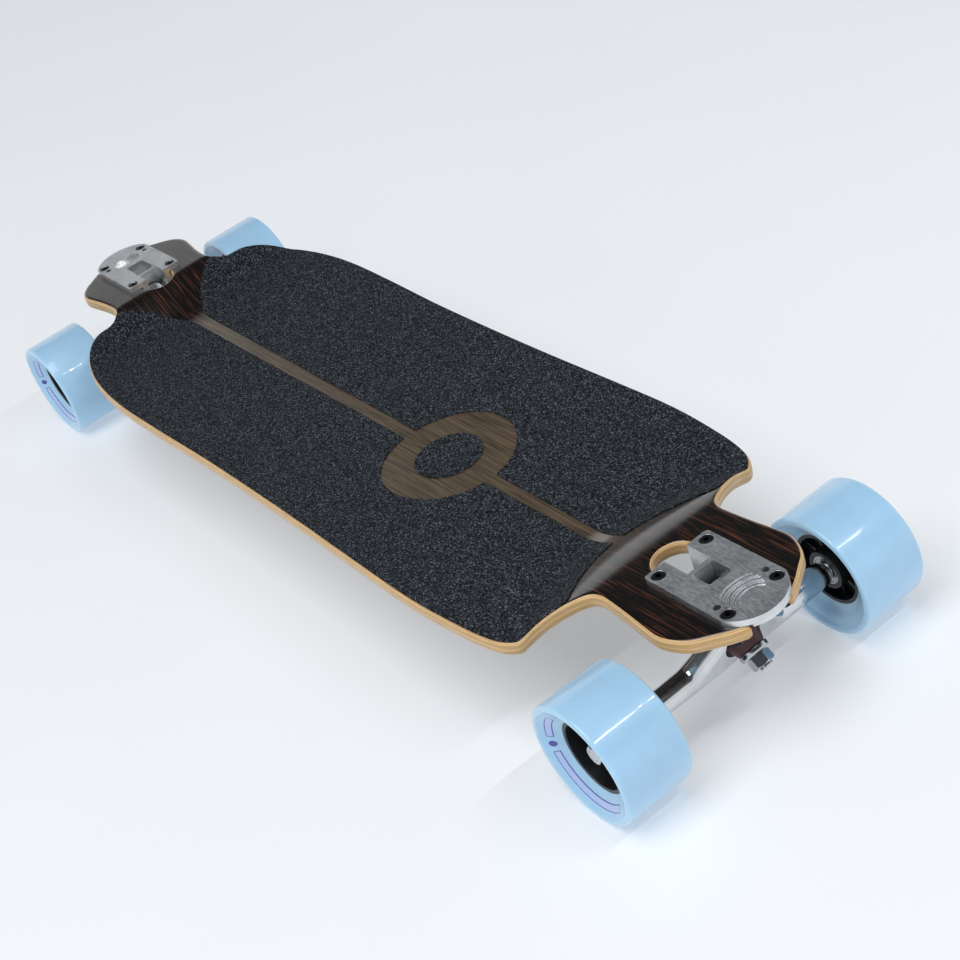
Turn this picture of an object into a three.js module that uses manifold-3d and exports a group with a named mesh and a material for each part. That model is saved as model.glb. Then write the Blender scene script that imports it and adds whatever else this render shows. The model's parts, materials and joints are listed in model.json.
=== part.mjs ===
// A drop-through longboard: a dropped, concave deck on two reverse-kingpin trucks with four urethane wheels.
// Millimetres. +X is the nose, +Y the left side, +Z up. The origin is on the ground under the deck's middle.

import * as THREE from 'three';
import { mergeVertices } from 'three/addons/utils/BufferGeometryUtils.js';
import { ConvexGeometry } from 'three/addons/geometries/ConvexGeometry.js';
import Module from 'manifold-3d';

const wasm = await Module();
wasm.setup();

const GAP = 0.3;                    // left between pieces that touch

// Deck
const END_TOP = 103.5;              // height of the flat ends where the trucks are fastened
const EDGE_TOP = 91.4;              // height of the dropped platform's rim
const CENTRE_TOP = 80;              // height of the platform's centre line
const RIM_AT = 121.5;               // distance of the rim from the centre line, for the concave
const CONCAVE_POWER = 2.2;
const CLIMB_TAIL = [-360, -318];    // where the platform climbs to the ends, on the centre line
const CLIMB_NOSE = [272, 352];
const SHOULDER_CLIMB = -300;        // where the rim starts to climb to the tail
const DECK_THICK = 11.5;
const VENEER_THICK = 0.9;
const GRIP_THICK = 0.9;
const GRIP_INSET = 1.5;
const DECK_END = 457;
const SLOT_HALF = 16;               // truck slot in each end, open at the tip
const SLOT_ROUND_AT = 371.9;        // centre of the slot's round inner end
const DIVISIONS = 9;                // across the deck; odd, so a level strip runs along the middle
const STRIPE_TAIL = 6.6;            // half the width of the bare stripe at its tail end
const STRIPE_NOSE = 4.9;
const NOTCH_START = -283;           // where the stripe starts to flare into the bare tail
const NOTCH_END = -357;
const NOTCH_HALF = 55;
const GRIP_NOSE = 308.5;            // nose end of the grip on the centre line
const GRIP_NOSE_BOW = 0.007;        // how fast that end bows forward, per mm of distance squared
const GRIP_NOSE_TIP = 338;
const GRIP_TAIL_TIP = -354;
const WINDOW_X = 105;               // round bare window in the grip
const WINDOW_R = 53.5;
const DOT_R = 27;

// Half outline of the deck, tail to nose: distance along the board and half width there
const HALF_OUTLINE = [
  [-DECK_END, 16.5], [-451, 28], [-444, 38], [-437, 47.5], [-428, 54.5], [-417, 57.6], [-403, 56],
  [-385, 53.2], [-363, 52.4], [-356.5, 54.5], [-351, 62], [-346, 82], [-336, 95.5], [-322, 105.8],
  [-307, 112.2], [-285, 117.8], [-250, 123], [-211, 125.3], [-155, 124.6], [-71, 122], [0, 121.3],
  [83, 121.5], [161, 122.7], [231, 123], [277, 119.6], [306, 115.4], [320, 110.6], [327.5, 103],
  [330.5, 92], [338, 76], [345, 62.5], [350, 55.5], [356.5, 52.8], [363, 52.8], [385, 54.6],
  [403, 56.6], [417, 57.2], [428, 53.5], [437, 47.5], [444, 38], [451, 28], [DECK_END, 16.5],
];

// Trucks. Inside a truck, x is measured outward from the middle of its bolt pattern.
const TRUCK_AT = 410.4;
const BOLT_X = 31.75;               // 2.5 in by 1.625 in bolt pattern
const BOLT_Y = 20.65;
const BOLT_HOLE_R = 2.85;
const SPARE_BOLT_X = 22.2;          // second pair, for the 2.125 in pattern
const SPARE_HOLE_R = 2.5;
const PLATE_TOP = 108.1;
const PLATE_INNER = -38.2;
const PLATE_HALF = 27.6;
const NOSE_R = 29.6;
const NOSE_AT = 21.8;
const CHANNEL_HALF = 9.6;
const CHANNEL_END = 5.4;
const BODY_HALF = 14.8;             // the casting under the flange fits the deck's slot
const LUG_HALF = 11.8;
const LUG_UNDER = 96.5;
const TOWER_HALF = 11;
const WALL_FROM = -19;              // low wall across the channel, inboard of the pocket
const WALL_TO = -15.6;
const WALL_TOP = 105;
const POCKET_FLOOR = 96;

const STEER_TILT = THREE.MathUtils.degToRad(50);   // steering axis above the horizontal
const AXLE_X = -6.5;
const AXLE_Z = 45;
const RAKE = 8;                     // axle offset from the steering axis, along the kingpin
const RING_REACH = 21;              // hanger ring beyond the axle, along the steering axis
const RING_R = 15.5;
const RING_HALF = 5.5;
const RING_HOLE_R = 8;
const KINGPIN_R = 4.76;
const KINGPIN_HEAD_R = 8.2;         // to the corners of its hexagon
const BUSHING_R = 13.5;
const BUSHING_TALL = 15;
const BUSHING_BORE_R = 5.3;
const SEAT_THICK = 5.4;
const PIVOT_FACE = -31;             // distances along the steering axis from the ring
const PIVOT_END = -43;
const PIVOT_HOUSING_R = 11.5;
const CUP_R = 8.3;
const CUP_END = -40.6;
const PIVOT_TIP = -39;
const PIVOT_R = 5.2;

// Wheels and axle
const WHEEL_R = 45;
const WHEEL_WIDE = 52.5;
const WHEEL_Y = 103.35;
const DISH = 10;                    // how far each face falls from its lip to the core
const CORE_R = 27;
const HUB_INSET = 5;                // the bearings sit this far inboard of the wheel's middle
const BEARING_R = 11;
const BEARING_WIDE = 7;
const BEARING_IN = 5.5;             // bearing's inner face from the hub's middle
const AXLE_R = 3.97;
const AXLE_END = 118.4;
const HANGER_FACE = 84.9;

const FINISHES = {
  veneer: { color: 0x2a1812, roughness: 0.35, metalness: 0 },
  plies: { color: 0xd9b77c, roughness: 0.5, metalness: 0 },
  grip: { color: 0x2b2d31, roughness: 0.95, metalness: 0 },
  cast: { color: 0xb4b8ba, roughness: 0.35, metalness: 1 },
  polished: { color: 0xc4c6c8, roughness: 0.15, metalness: 1 },
  steel: { color: 0xa8aaad, roughness: 0.25, metalness: 1 },
  black_steel: { color: 0x1a1a1c, roughness: 0.45, metalness: 1 },
  bushing: { color: 0x5e0f14, roughness: 0.5, metalness: 0 },
  cup: { color: 0x1c1c1e, roughness: 0.6, metalness: 0 },
  urethane: { color: 0xa9d3f2, roughness: 0.3, metalness: 0 },
  core: { color: 0x121316, roughness: 0.4, metalness: 0 },
};

const board = new THREE.Group();

function signedVolume(position, index) {
  const [a, b, c] = [new THREE.Vector3(), new THREE.Vector3(), new THREE.Vector3()];
  let sum = 0;
  for (let i = 0; i < index.length; i += 3) {
    a.fromBufferAttribute(position, index[i]);
    b.fromBufferAttribute(position, index[i + 1]);
    c.fromBufferAttribute(position, index[i + 2]);
    sum += a.dot(b.cross(c));
  }
  return sum / 6;
}

// A closed geometry as a solid, with its faces turned outwards and its collapsed triangles dropped
function solid(geometry) {
  geometry.deleteAttribute('normal');
  geometry.deleteAttribute('uv');
  const merged = mergeVertices(geometry, 1e-4);
  const { position } = merged.attributes;
  const source = merged.index.array;
  const kept = [];
  for (let i = 0; i < source.length; i += 3) {
    const [a, b, c] = [source[i], source[i + 1], source[i + 2]];
    if (a !== b && b !== c && a !== c) kept.push(a, b, c);
  }
  if (signedVolume(position, kept) < 0) kept.reverse();
  const mesh = new wasm.Mesh({
    numProp: 3,
    vertProperties: new Float32Array(position.array),
    triVerts: new Uint32Array(kept),
  });
  return new wasm.Manifold(mesh);
}

function add(parent, name, shape, finish) {
  const { vertProperties, triVerts } = shape.getMesh();
  const geometry = new THREE.BufferGeometry();
  geometry.setAttribute('position', new THREE.BufferAttribute(new Float32Array(vertProperties), 3));
  geometry.setIndex(new THREE.BufferAttribute(new Uint32Array(triVerts), 1));
  geometry.computeVertexNormals();
  const mesh = new THREE.Mesh(geometry, new THREE.MeshStandardMaterial(FINISHES[finish]));
  mesh.name = name;
  parent.add(mesh);
  return mesh;
}

// Outline in x and z, made solid between two y values
function slabXZ(points, y0, y1) {
  const shape = new THREE.Shape(points.map(([x, z]) => new THREE.Vector2(x, z)));
  const geometry = new THREE.ExtrudeGeometry(shape, { depth: y1 - y0, bevelEnabled: false });
  geometry.rotateX(Math.PI / 2);
  geometry.translate(0, y1, 0);
  return solid(geometry);
}

function slabXY(shape, z0, z1, curveSegments = 10) {
  const geometry = new THREE.ExtrudeGeometry(shape, { depth: z1 - z0, bevelEnabled: false, curveSegments });
  geometry.translate(0, 0, z0);
  return solid(geometry);
}

// Turned about z from a profile of [radius, z] points
function turned(profile, segments) {
  const points = profile.map(([r, z]) => new THREE.Vector2(r, z));
  return solid(new THREE.LatheGeometry(points, segments).rotateX(Math.PI / 2));
}

function rod(radius, z0, z1, segments) {
  return turned([[0, z0], [radius, z0], [radius, z1], [0, z1]], segments);
}

function tube(outer, inner, z0, z1, segments) {
  return turned([[inner, z0], [outer, z0], [outer, z1], [inner, z1], [inner, z0]], segments);
}

function hexNut(acrossFlats, holeRadius, z0, z1, holeSides = 12) {
  return rod(acrossFlats / Math.sqrt(3), z0, z1, 6).subtract(rod(holeRadius, z0 - 1, z1 + 1, holeSides));
}

// ---- Deck -------------------------------------------------------------------------------------

const outline = new THREE.CatmullRomCurve3(
  HALF_OUTLINE.map(([x, half]) => new THREE.Vector3(x, half, 0)), false, 'centripetal',
).getPoints(2 * (HALF_OUTLINE.length - 1));

// Height of the deck's top face: a concave platform that climbs to a flat end past each shoulder
function topHeight(x, y) {
  const side = Math.abs(y) / 100;
  const shoulder = THREE.MathUtils.smoothstep(side, 0.55, 1.05);
  const tailFrom = THREE.MathUtils.lerp(-CLIMB_TAIL[1] + 28 * side * side, -SHOULDER_CLIMB, shoulder);
  const climbFrom = x > 0 ? CLIMB_NOSE[0] + 50 * side * side : tailFrom;
  const climbTo = x > 0 ? CLIMB_NOSE[1] : -CLIMB_TAIL[0];
  const climb = THREE.MathUtils.smoothstep(Math.abs(x), climbFrom, climbTo);
  const rise = (EDGE_TOP - CENTRE_TOP) * (Math.abs(y) / RIM_AT) ** CONCAVE_POWER;
  return THREE.MathUtils.lerp(CENTRE_TOP + rise, END_TOP, climb);
}

function spaced(from, to, count) {
  return Array.from({ length: count + 1 }, (_, i) => from + ((to - from) * i) / count);
}

// Every layer is faceted on this one grid, so the layers stay parallel.
const GRID_X = [
  -DECK_END - 3, ...spaced(CLIMB_TAIL[0], SHOULDER_CLIMB, 10), ...spaced(...CLIMB_NOSE, 12), DECK_END + 3,
];
const GRID_Y = spaced(-RIM_AT, RIM_AT, DIVISIONS).map((y) => (Math.abs(y) > RIM_AT - 1 ? y * 1.05 : y));

// A sheet over the whole grid; `depth` is how far its upper face lies under the deck's top
function gridSheet(depth, thick) {
  const positions = [];
  const index = [];
  const across = GRID_Y.length;
  for (const x of GRID_X) {
    for (const y of GRID_Y) {
      const top = topHeight(x, y) - depth;
      positions.push(x, y, top, x, y, top - thick);
    }
  }
  const at = (i, j, under) => 2 * (i * across + j) + under;
  const quad = (a, b, c, d) => index.push(a, b, c, a, c, d);
  const [lastX, lastY] = [GRID_X.length - 1, across - 1];
  for (let i = 0; i < lastX; i += 1) {
    for (let j = 0; j < lastY; j += 1) {
      quad(at(i, j, 0), at(i + 1, j, 0), at(i + 1, j + 1, 0), at(i, j + 1, 0));
      quad(at(i, j, 1), at(i, j + 1, 1), at(i + 1, j + 1, 1), at(i + 1, j, 1));
    }
    quad(at(i, 0, 0), at(i, 0, 1), at(i + 1, 0, 1), at(i + 1, 0, 0));
    quad(at(i, lastY, 0), at(i + 1, lastY, 0), at(i + 1, lastY, 1), at(i, lastY, 1));
  }
  for (let j = 0; j < lastY; j += 1) {
    quad(at(0, j, 0), at(0, j + 1, 0), at(0, j + 1, 1), at(0, j, 1));
    quad(at(lastX, j, 0), at(lastX, j, 1), at(lastX, j + 1, 1), at(lastX, j + 1, 0));
  }
  const geometry = new THREE.BufferGeometry();
  geometry.setAttribute('position', new THREE.BufferAttribute(new Float32Array(positions), 3));
  geometry.setIndex(index);
  return solid(geometry);
}

// Everything cut out of the deck at the nose: the open truck slot and the four bolt holes
function noseCuts() {
  const slot = new THREE.Shape();
  slot.moveTo(DECK_END + 20, -SLOT_HALF);
  slot.lineTo(DECK_END + 20, SLOT_HALF);
  slot.lineTo(SLOT_ROUND_AT, SLOT_HALF);
  slot.absarc(SLOT_ROUND_AT, 0, SLOT_HALF, Math.PI / 2, (Math.PI * 3) / 2, false);
  let cuts = slabXY(slot, 60, 130, 8);
  for (const x of [-BOLT_X, BOLT_X]) {
    for (const y of [-BOLT_Y, BOLT_Y]) {
      cuts = cuts.add(rod(BOLT_HOLE_R, 60, 130, 8).translate(TRUCK_AT + x, y, 0));
    }
  }
  return cuts;
}

function prism(points) {
  return slabXY(new THREE.Shape(points.map(([x, y]) => new THREE.Vector2(x, y))), 40, 130);
}

const cuts = noseCuts().add(noseCuts().rotate(0, 0, 180));
const rim = outline.map(({ x, y }) => [x, y]);
const blank = prism([...rim, ...rim.map(([x, y]) => [x, -y]).reverse()]).subtract(cuts);
const coreDepth = VENEER_THICK + 0.15;
add(board, 'deck_core', gridSheet(coreDepth, DECK_THICK - coreDepth).intersect(blank), 'plies');
add(board, 'top_veneer', gridSheet(0, VENEER_THICK).intersect(blank), 'veneer');

// Half the width of the bare wood between the two grip sheets
function bareHalf(x) {
  const along = (x - NOTCH_START) / (GRIP_NOSE - NOTCH_START);
  const stripe = THREE.MathUtils.lerp(STRIPE_TAIL, STRIPE_NOSE, Math.max(along, 0));
  const flare = Math.max((NOTCH_START - x) / (NOTCH_START - NOTCH_END), 0);
  const bowed = Math.sqrt(Math.max(x - GRIP_NOSE, 0) / GRIP_NOSE_BOW);
  return Math.max(stripe + (NOTCH_HALF - stripe) * flare ** 3, bowed);
}

const gripSheet = gridSheet(-GAP - GRIP_THICK, GRIP_THICK);
const window = rod(WINDOW_R, 60, 110, 36).translate(WINDOW_X, 0, 0);
const gripRim = rim.filter(([x]) => x > GRIP_TAIL_TIP && x < GRIP_NOSE_TIP)
  .map(([x, y]) => [x, y - GRIP_INSET]);
const gripInner = [...spaced(GRIP_TAIL_TIP, NOTCH_START, 6), ...spaced(GRIP_NOSE, GRIP_NOSE_TIP, 6)]
  .map((x) => [x, bareHalf(x)]);
const gripOutline = [...gripRim, ...gripInner.reverse()];
for (const [name, side] of [['grip_left', 1], ['grip_right', -1]]) {
  const mask = prism(gripOutline.map(([x, y]) => [x, side * y]));
  add(board, name, gripSheet.intersect(mask).subtract(window), 'grip');
}
add(board, 'grip_dot', gripSheet.intersect(rod(DOT_R, 60, 110, 28).translate(WINDOW_X, 0, 0)), 'grip');

// ---- Trucks -----------------------------------------------------------------------------------

// Pieces on the kingpin are drawn along z in the kingpin's frame: its x runs out along the steering
// axis and its z up the kingpin to the deck, from the middle of the hanger's ring.
const [cosTilt, sinTilt] = [Math.cos(STEER_TILT), Math.sin(STEER_TILT)];
const RING_X = AXLE_X - RAKE * sinTilt + RING_REACH * cosTilt;
const RING_Z = AXLE_Z + RAKE * cosTilt + RING_REACH * sinTilt;
const toTruck = (shape) => shape.rotate(0, -THREE.MathUtils.radToDeg(STEER_TILT), 0)
  .translate(RING_X, 0, RING_Z);
const pointOf = ([u, w]) => [RING_X + u * cosTilt - w * sinTilt, RING_Z + u * sinTilt + w * cosTilt];
const onSteeringAxis = (shape) => toTruck(shape.rotate(0, 90, 0));

const SEAT = RING_HALF + GAP + BUSHING_TALL + 0.5 + GAP;
const SEAT_TOP = SEAT + SEAT_THICK;

function baseplate() {
  const flange = new THREE.Shape();
  flange.moveTo(PLATE_INNER, -PLATE_HALF);
  const noseAngle = Math.asin(PLATE_HALF / NOSE_R);
  flange.lineTo(NOSE_AT + NOSE_R * Math.cos(noseAngle), -PLATE_HALF);
  flange.absarc(NOSE_AT, 0, NOSE_R, -noseAngle, noseAngle, false);
  flange.lineTo(PLATE_INNER, PLATE_HALF);

  const lug = new THREE.Shape();
  lug.moveTo(0, -LUG_HALF);
  lug.lineTo(NOSE_AT + 10, -LUG_HALF);
  lug.absarc(NOSE_AT + 10, 0, LUG_HALF, -Math.PI / 2, Math.PI / 2, false);
  lug.lineTo(0, LUG_HALF);

  const body = [
    [PLATE_INNER + 0.2, 105], [10, 105], [10, 92.5], pointOf([SEAT_TOP - 11, SEAT]), pointOf([-16, SEAT]),
    pointOf([-20, SEAT + 3]), [PLATE_INNER + 0.2, 74],
  ];
  const tower = [
    [-15.5, SEAT_TOP], [-15.5, 11], [PIVOT_FACE, 11], [PIVOT_FACE, -8], [PIVOT_END, -8], [PIVOT_END, 8],
    [-30, SEAT_TOP],
  ].map(pointOf);
  const channelAboveSeat = [
    [-80, 125], [WALL_FROM, 125], [WALL_FROM, 90], pointOf([4, SEAT_TOP]), pointOf([-32, SEAT_TOP]),
    [-80, 62],
  ];
  const pocket = [
    [WALL_TO, 125], [CHANNEL_END, 125], [CHANNEL_END, POCKET_FLOOR], pointOf([16.2, SEAT_TOP]),
    [WALL_TO, pointOf([6.6, SEAT_TOP])[1]],
  ];

  let plate = slabXY(flange, END_TOP + GAP, PLATE_TOP)
    .add(slabXY(lug, LUG_UNDER, END_TOP + 1, 6))
    .add(slabXZ(body, -BODY_HALF, BODY_HALF))
    .add(slabXZ(tower, -TOWER_HALF, TOWER_HALF))
    .add(onSteeringAxis(rod(PIVOT_HOUSING_R, PIVOT_END, PIVOT_FACE, 24)))
    .subtract(slabXZ(channelAboveSeat, -CHANNEL_HALF, CHANNEL_HALF))
    .subtract(slabXZ(pocket, -CHANNEL_HALF + 0.8, CHANNEL_HALF - 0.8))
    .subtract(slabXZ([[WALL_FROM - 1, WALL_TOP], [WALL_TO + 1, WALL_TOP], [WALL_TO + 1, 125],
      [WALL_FROM - 1, 125]], -CHANNEL_HALF, CHANNEL_HALF))
    .subtract(toTruck(rod(KINGPIN_R + 0.35, SEAT - 3, SEAT_TOP + 3, 16)))
    .subtract(toTruck(rod(KINGPIN_HEAD_R + 0.6, SEAT_TOP, SEAT_TOP + 9, 16)))
    .subtract(onSteeringAxis(rod(CUP_R + GAP, CUP_END - GAP, PIVOT_FACE + 2, 24)));
  for (const y of [-BOLT_Y, BOLT_Y]) {
    for (const x of [-BOLT_X, BOLT_X]) {
      const hole = turned([
        [0, 90], [BOLT_HOLE_R, 90], [BOLT_HOLE_R, 105.2], [5.4, 108.3], [5.4, 112], [0, 112],
      ], 12);
      plate = plate.subtract(hole.translate(x, y, 0));
    }
    plate = plate.subtract(rod(SPARE_HOLE_R, 90, 112, 8).translate(SPARE_BOLT_X, y, 0));
  }
  return plate;
}

function hanger() {
  // The arms are turned about the axle; their spindle profile is [radius, distance from the middle].
  const spindle = [
    [0, -HANGER_FACE], [8.2, -HANGER_FACE], [8.8, -81], [9, -60], [9.5, -26], [9.5, 26], [9, 60], [8.8, 81],
    [8.2, HANGER_FACE], [0, HANGER_FACE],
  ];
  const arms = turned(spindle, 18).rotate(90, 0, 0).translate(AXLE_X, 0, AXLE_Z);
  const corners = [];
  for (let i = 0; i < 18; i += 1) {
    const turn = (i / 18) * 2 * Math.PI;
    for (const w of [-RING_HALF, RING_HALF]) {
      const [x, z] = pointOf([RING_R * Math.cos(turn), w]);
      corners.push(new THREE.Vector3(x, RING_R * Math.sin(turn), z));
    }
    for (const y of [-30, 30]) {
      corners.push(new THREE.Vector3(AXLE_X + 8.8 * Math.cos(turn), y, AXLE_Z + 8.8 * Math.sin(turn)));
    }
  }
  const nose = turned([
    [0, PIVOT_TIP], [PIVOT_R - 1.6, PIVOT_TIP + 0.6], [PIVOT_R, PIVOT_TIP + 2.6], [PIVOT_R, -30.8],
    [8, -27.4],
    [8, -20], [0, -20],
  ], 20);
  return solid(new ConvexGeometry(corners))
    .add(arms)
    .add(onSteeringAxis(nose))
    .subtract(toTruck(rod(RING_HOLE_R, -20, 20, 20)))
    .subtract(toTruck(rod(BUSHING_R + 1.3, -40, -RING_HALF, 24)))
    .subtract(rod(AXLE_R + GAP, -HANGER_FACE - 1, HANGER_FACE + 1, 16).rotate(90, 0, 0)
      .translate(AXLE_X, 0, AXLE_Z));
}

function truck(end, side) {
  const group = new THREE.Group();
  group.position.x = side * TRUCK_AT;
  group.rotation.z = side > 0 ? 0 : Math.PI;
  board.add(group);
  const leftSign = side;              // a turned truck has its left arm on its own -y side

  add(group, `${end}_baseplate`, baseplate(), 'cast');
  const cup = turned([
    [0, CUP_END], [CUP_R, CUP_END], [CUP_R, PIVOT_FACE - GAP], [PIVOT_R + 0.4, PIVOT_FACE - GAP],
    [PIVOT_R + 0.4, PIVOT_TIP - 0.4], [0, PIVOT_TIP - 0.4],
  ], 20);
  add(group, `${end}_pivot_cup`, onSteeringAxis(cup), 'cup');

  const bottom = -RING_HALF - GAP;
  const washerTop = bottom - BUSHING_TALL - GAP;
  const nutTop = washerTop - 2 - GAP;
  const kingpin = rod(KINGPIN_R, nutTop - 10, SEAT_TOP + 1, 16)
    .add(rod(KINGPIN_HEAD_R, SEAT_TOP + GAP, SEAT_TOP + 6, 6));
  add(group, `${end}_kingpin`, toTruck(kingpin), 'steel');
  add(group, `${end}_kingpin_nut`, toTruck(hexNut(14.3, KINGPIN_R + GAP, nutTop - 8, nutTop, 16)), 'steel');
  const barrel = [
    [BUSHING_BORE_R, -bottom], [BUSHING_R, -bottom], [BUSHING_R, -bottom + 4],
    [BUSHING_R - 0.8, -bottom + 7.5],
    [BUSHING_R, -bottom + 11], [BUSHING_R, -bottom + BUSHING_TALL], [BUSHING_BORE_R, -bottom + BUSHING_TALL],
    [BUSHING_BORE_R, -bottom],
  ];
  add(group, `${end}_bushing_deck_side`, toTruck(turned(barrel, 20)), 'bushing');
  const cone = [
    [BUSHING_BORE_R, bottom], [BUSHING_R, bottom], [BUSHING_R, bottom - 3.5], [8.8, bottom - BUSHING_TALL],
    [BUSHING_BORE_R, bottom - BUSHING_TALL], [BUSHING_BORE_R, bottom],
  ];
  add(group, `${end}_bushing_road_side`, toTruck(turned(cone, 20)), 'bushing');
  const washer = [
    [5.2, washerTop], [9.7, washerTop], [9.9, washerTop + 2], [10.8, washerTop + 2], [10.6, washerTop - 2],
    [5.2, washerTop - 2], [5.2, washerTop],
  ];
  add(group, `${end}_washer`, toTruck(turned(washer, 20)), 'steel');

  add(group, `${end}_hanger`, hanger(), 'polished');
  const axle = rod(AXLE_R, -AXLE_END, AXLE_END, 16).rotate(90, 0, 0).translate(AXLE_X, 0, AXLE_Z);
  add(group, `${end}_axle`, axle, 'steel');

  for (const [hand, sign] of [['left', leftSign], ['right', -leftSign]]) {
    const onAxle = (shape, y = 0) => shape.rotate(-90 * sign, 0, 0).translate(AXLE_X, y, AXLE_Z);
    const nut = hexNut(12.7, AXLE_R + GAP, AXLE_END - 6.7, AXLE_END - 0.3, 16);
    add(group, `${end}_axle_nut_${hand}`, onAxle(nut), 'steel');
    wheel(group, `${end}_${hand}`, (shape) => onAxle(shape, sign * WHEEL_Y));
  }

  let number = 0;
  for (const x of [-BOLT_X, BOLT_X]) {
    for (const y of [-BOLT_Y, BOLT_Y]) {
      number += 1;
      const bolt = turned([[0, 83.5], [2.4, 83.5], [2.4, 105.2], [4.8, 107.8], [0, 107.8]], 12);
      add(group, `${end}_bolt_${number}`, bolt.translate(x, y, 0), 'black_steel');
      const nut = hexNut(9.5, 2.8, 85.6, END_TOP - DECK_THICK - GAP);
      add(group, `${end}_bolt_nut_${number}`, nut.translate(x, y, 0), 'black_steel');
    }
  }
}

// A wheel about z, its middle at the origin and its outer face towards +z
function wheel(group, name, place) {
  const half = WHEEL_WIDE / 2;
  const lip = 4;
  const rimFace = [[CORE_R + 0.2, half - DISH], [38.5, half - 2.4], [WHEEL_R - lip, half]];
  const shoulder = [[WHEEL_R - 1.2, half - 1.2], [WHEEL_R, half - lip]];
  const outerSide = [...rimFace, ...shoulder];
  const innerSide = outerSide.map(([r, z]) => [r, -z]).reverse();
  const tyre = [...outerSide, ...innerSide, rimFace[0]];
  add(group, `${name}_tyre`, place(turned(tyre, 32)), 'urethane');

  const coreHalf = half - DISH - 0.2;
  const seat = BEARING_R + 0.2;
  const stop = BEARING_IN - 0.2;
  const webHalf = 5;
  const hub = [
    [CORE_R - 3, webHalf], [14.6, webHalf], [14.2, 12.8], [seat, 12.8], [seat, stop], [9.6, stop],
    [9.6, -stop],
    [seat, -stop], [seat, -12.8], [14.2, -12.8], [14.6, -webHalf], [CORE_R - 3, -webHalf],
  ].map(([r, z]) => [r, z - HUB_INSET]);
  const core = [[CORE_R, -coreHalf], [CORE_R, coreHalf], [24.4, coreHalf], ...hub, [24.4, -coreHalf],
    [CORE_R, -coreHalf]];
  add(group, `${name}_core`, place(turned(core, 16)), 'core');

  const bearing = (from) => place(tube(BEARING_R, AXLE_R + 0.15, from, from + BEARING_WIDE, 16));
  add(group, `${name}_bearing_inner`, bearing(-HUB_INSET - BEARING_IN - BEARING_WIDE), 'steel');
  add(group, `${name}_bearing_outer`, bearing(-HUB_INSET + BEARING_IN), 'steel');
}

truck('front', 1);
truck('rear', -1);

export default board;
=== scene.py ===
"""A drop-through longboard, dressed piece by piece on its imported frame."""

import json
import math

import bmesh
import bpy
import numpy as np
from bpy.props import FloatProperty, FloatVectorProperty, IntProperty, PointerProperty
from mathutils import Matrix, Vector
from mathutils.geometry import delaunay_2d_cdt


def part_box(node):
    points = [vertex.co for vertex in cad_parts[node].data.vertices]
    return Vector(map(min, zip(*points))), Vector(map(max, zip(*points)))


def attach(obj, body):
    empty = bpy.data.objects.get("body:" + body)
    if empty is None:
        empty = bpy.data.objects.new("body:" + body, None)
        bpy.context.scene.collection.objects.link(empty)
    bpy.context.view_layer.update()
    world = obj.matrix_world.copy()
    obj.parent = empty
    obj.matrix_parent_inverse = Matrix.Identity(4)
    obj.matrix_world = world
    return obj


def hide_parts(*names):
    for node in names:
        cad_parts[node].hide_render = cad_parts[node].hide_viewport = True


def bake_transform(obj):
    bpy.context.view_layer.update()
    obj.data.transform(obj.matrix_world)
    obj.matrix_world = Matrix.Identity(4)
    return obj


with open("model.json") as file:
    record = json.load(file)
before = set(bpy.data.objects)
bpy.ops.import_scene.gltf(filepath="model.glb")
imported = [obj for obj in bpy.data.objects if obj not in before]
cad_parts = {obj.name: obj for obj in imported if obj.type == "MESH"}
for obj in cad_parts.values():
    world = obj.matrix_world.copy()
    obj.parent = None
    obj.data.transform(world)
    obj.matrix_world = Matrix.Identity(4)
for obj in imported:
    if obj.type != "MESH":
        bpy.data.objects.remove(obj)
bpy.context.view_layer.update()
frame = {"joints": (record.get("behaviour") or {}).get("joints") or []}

bl_info = {
    "name": "Drop-through longboard",
    "version": (1, 0, 0),
    "blender": (4, 5, 0),
    "location": "View3D > Sidebar > Longboard",
    "description": "Builds the looks of a drop-through longboard around its packed frame",
    "category": "Object",
}

MM = 0.001
JOINTS = {joint["name"]: joint for joint in frame["joints"]}
ENDS = ("front", "rear")
HANDS = ("left", "right")

# Half outline of the deck, tail to nose: distance along the board and half width there, in millimetres
HALF_OUTLINE = (
    (-457, 16.5), (-451, 28), (-444, 38), (-437, 47.5), (-428, 54.5), (-417, 57.6), (-403, 56),
    (-385, 53.2), (-363, 52.4), (-356.5, 54.5), (-351, 62), (-346, 82), (-336, 95.5), (-322, 105.8),
    (-307, 112.2), (-285, 117.8), (-250, 123), (-211, 125.3), (-155, 124.6), (-71, 122), (0, 121.3),
    (83, 121.5), (161, 122.7), (231, 123), (277, 119.6), (306, 115.4), (320, 110.6), (327.5, 103),
    (330.5, 92), (338, 76), (345, 62.5), (350, 55.5), (356.5, 52.8), (363, 52.8), (385, 54.6),
    (403, 56.6), (417, 57.2), (428, 53.5), (437, 47.5), (444, 38), (451, 28), (457, 16.5),
)
SLOT_HALF = 16                 # the open slot that each truck drops through
SLOT_ROUND_AT = 371.9
END_TOP = 103.5                # heights of the deck's top face
EDGE_TOP = 91.4
CENTRE_TOP = 80
RIM_AT = 121.5
DECK_THICK = 11.5
GRIP_TAIL_TIP = -354
GRIP_NOSE_TIP = 338
GRIP_NOSE = 308.5
NOTCH_START = -283
NOTCH_END = -357
WINDOW_X = 105
WINDOW_R = 53.5
DOT_R = 27
BOLT_SPACING = (63.5, 41.3)


# ---- Places taken from the frame --------------------------------------------------------------


def middle(*nodes):
    """Middle of the box round these nodes."""
    corners = np.array([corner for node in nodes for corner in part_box(node)])
    return Vector((corners.min(0) + corners.max(0)) / 2)


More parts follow.
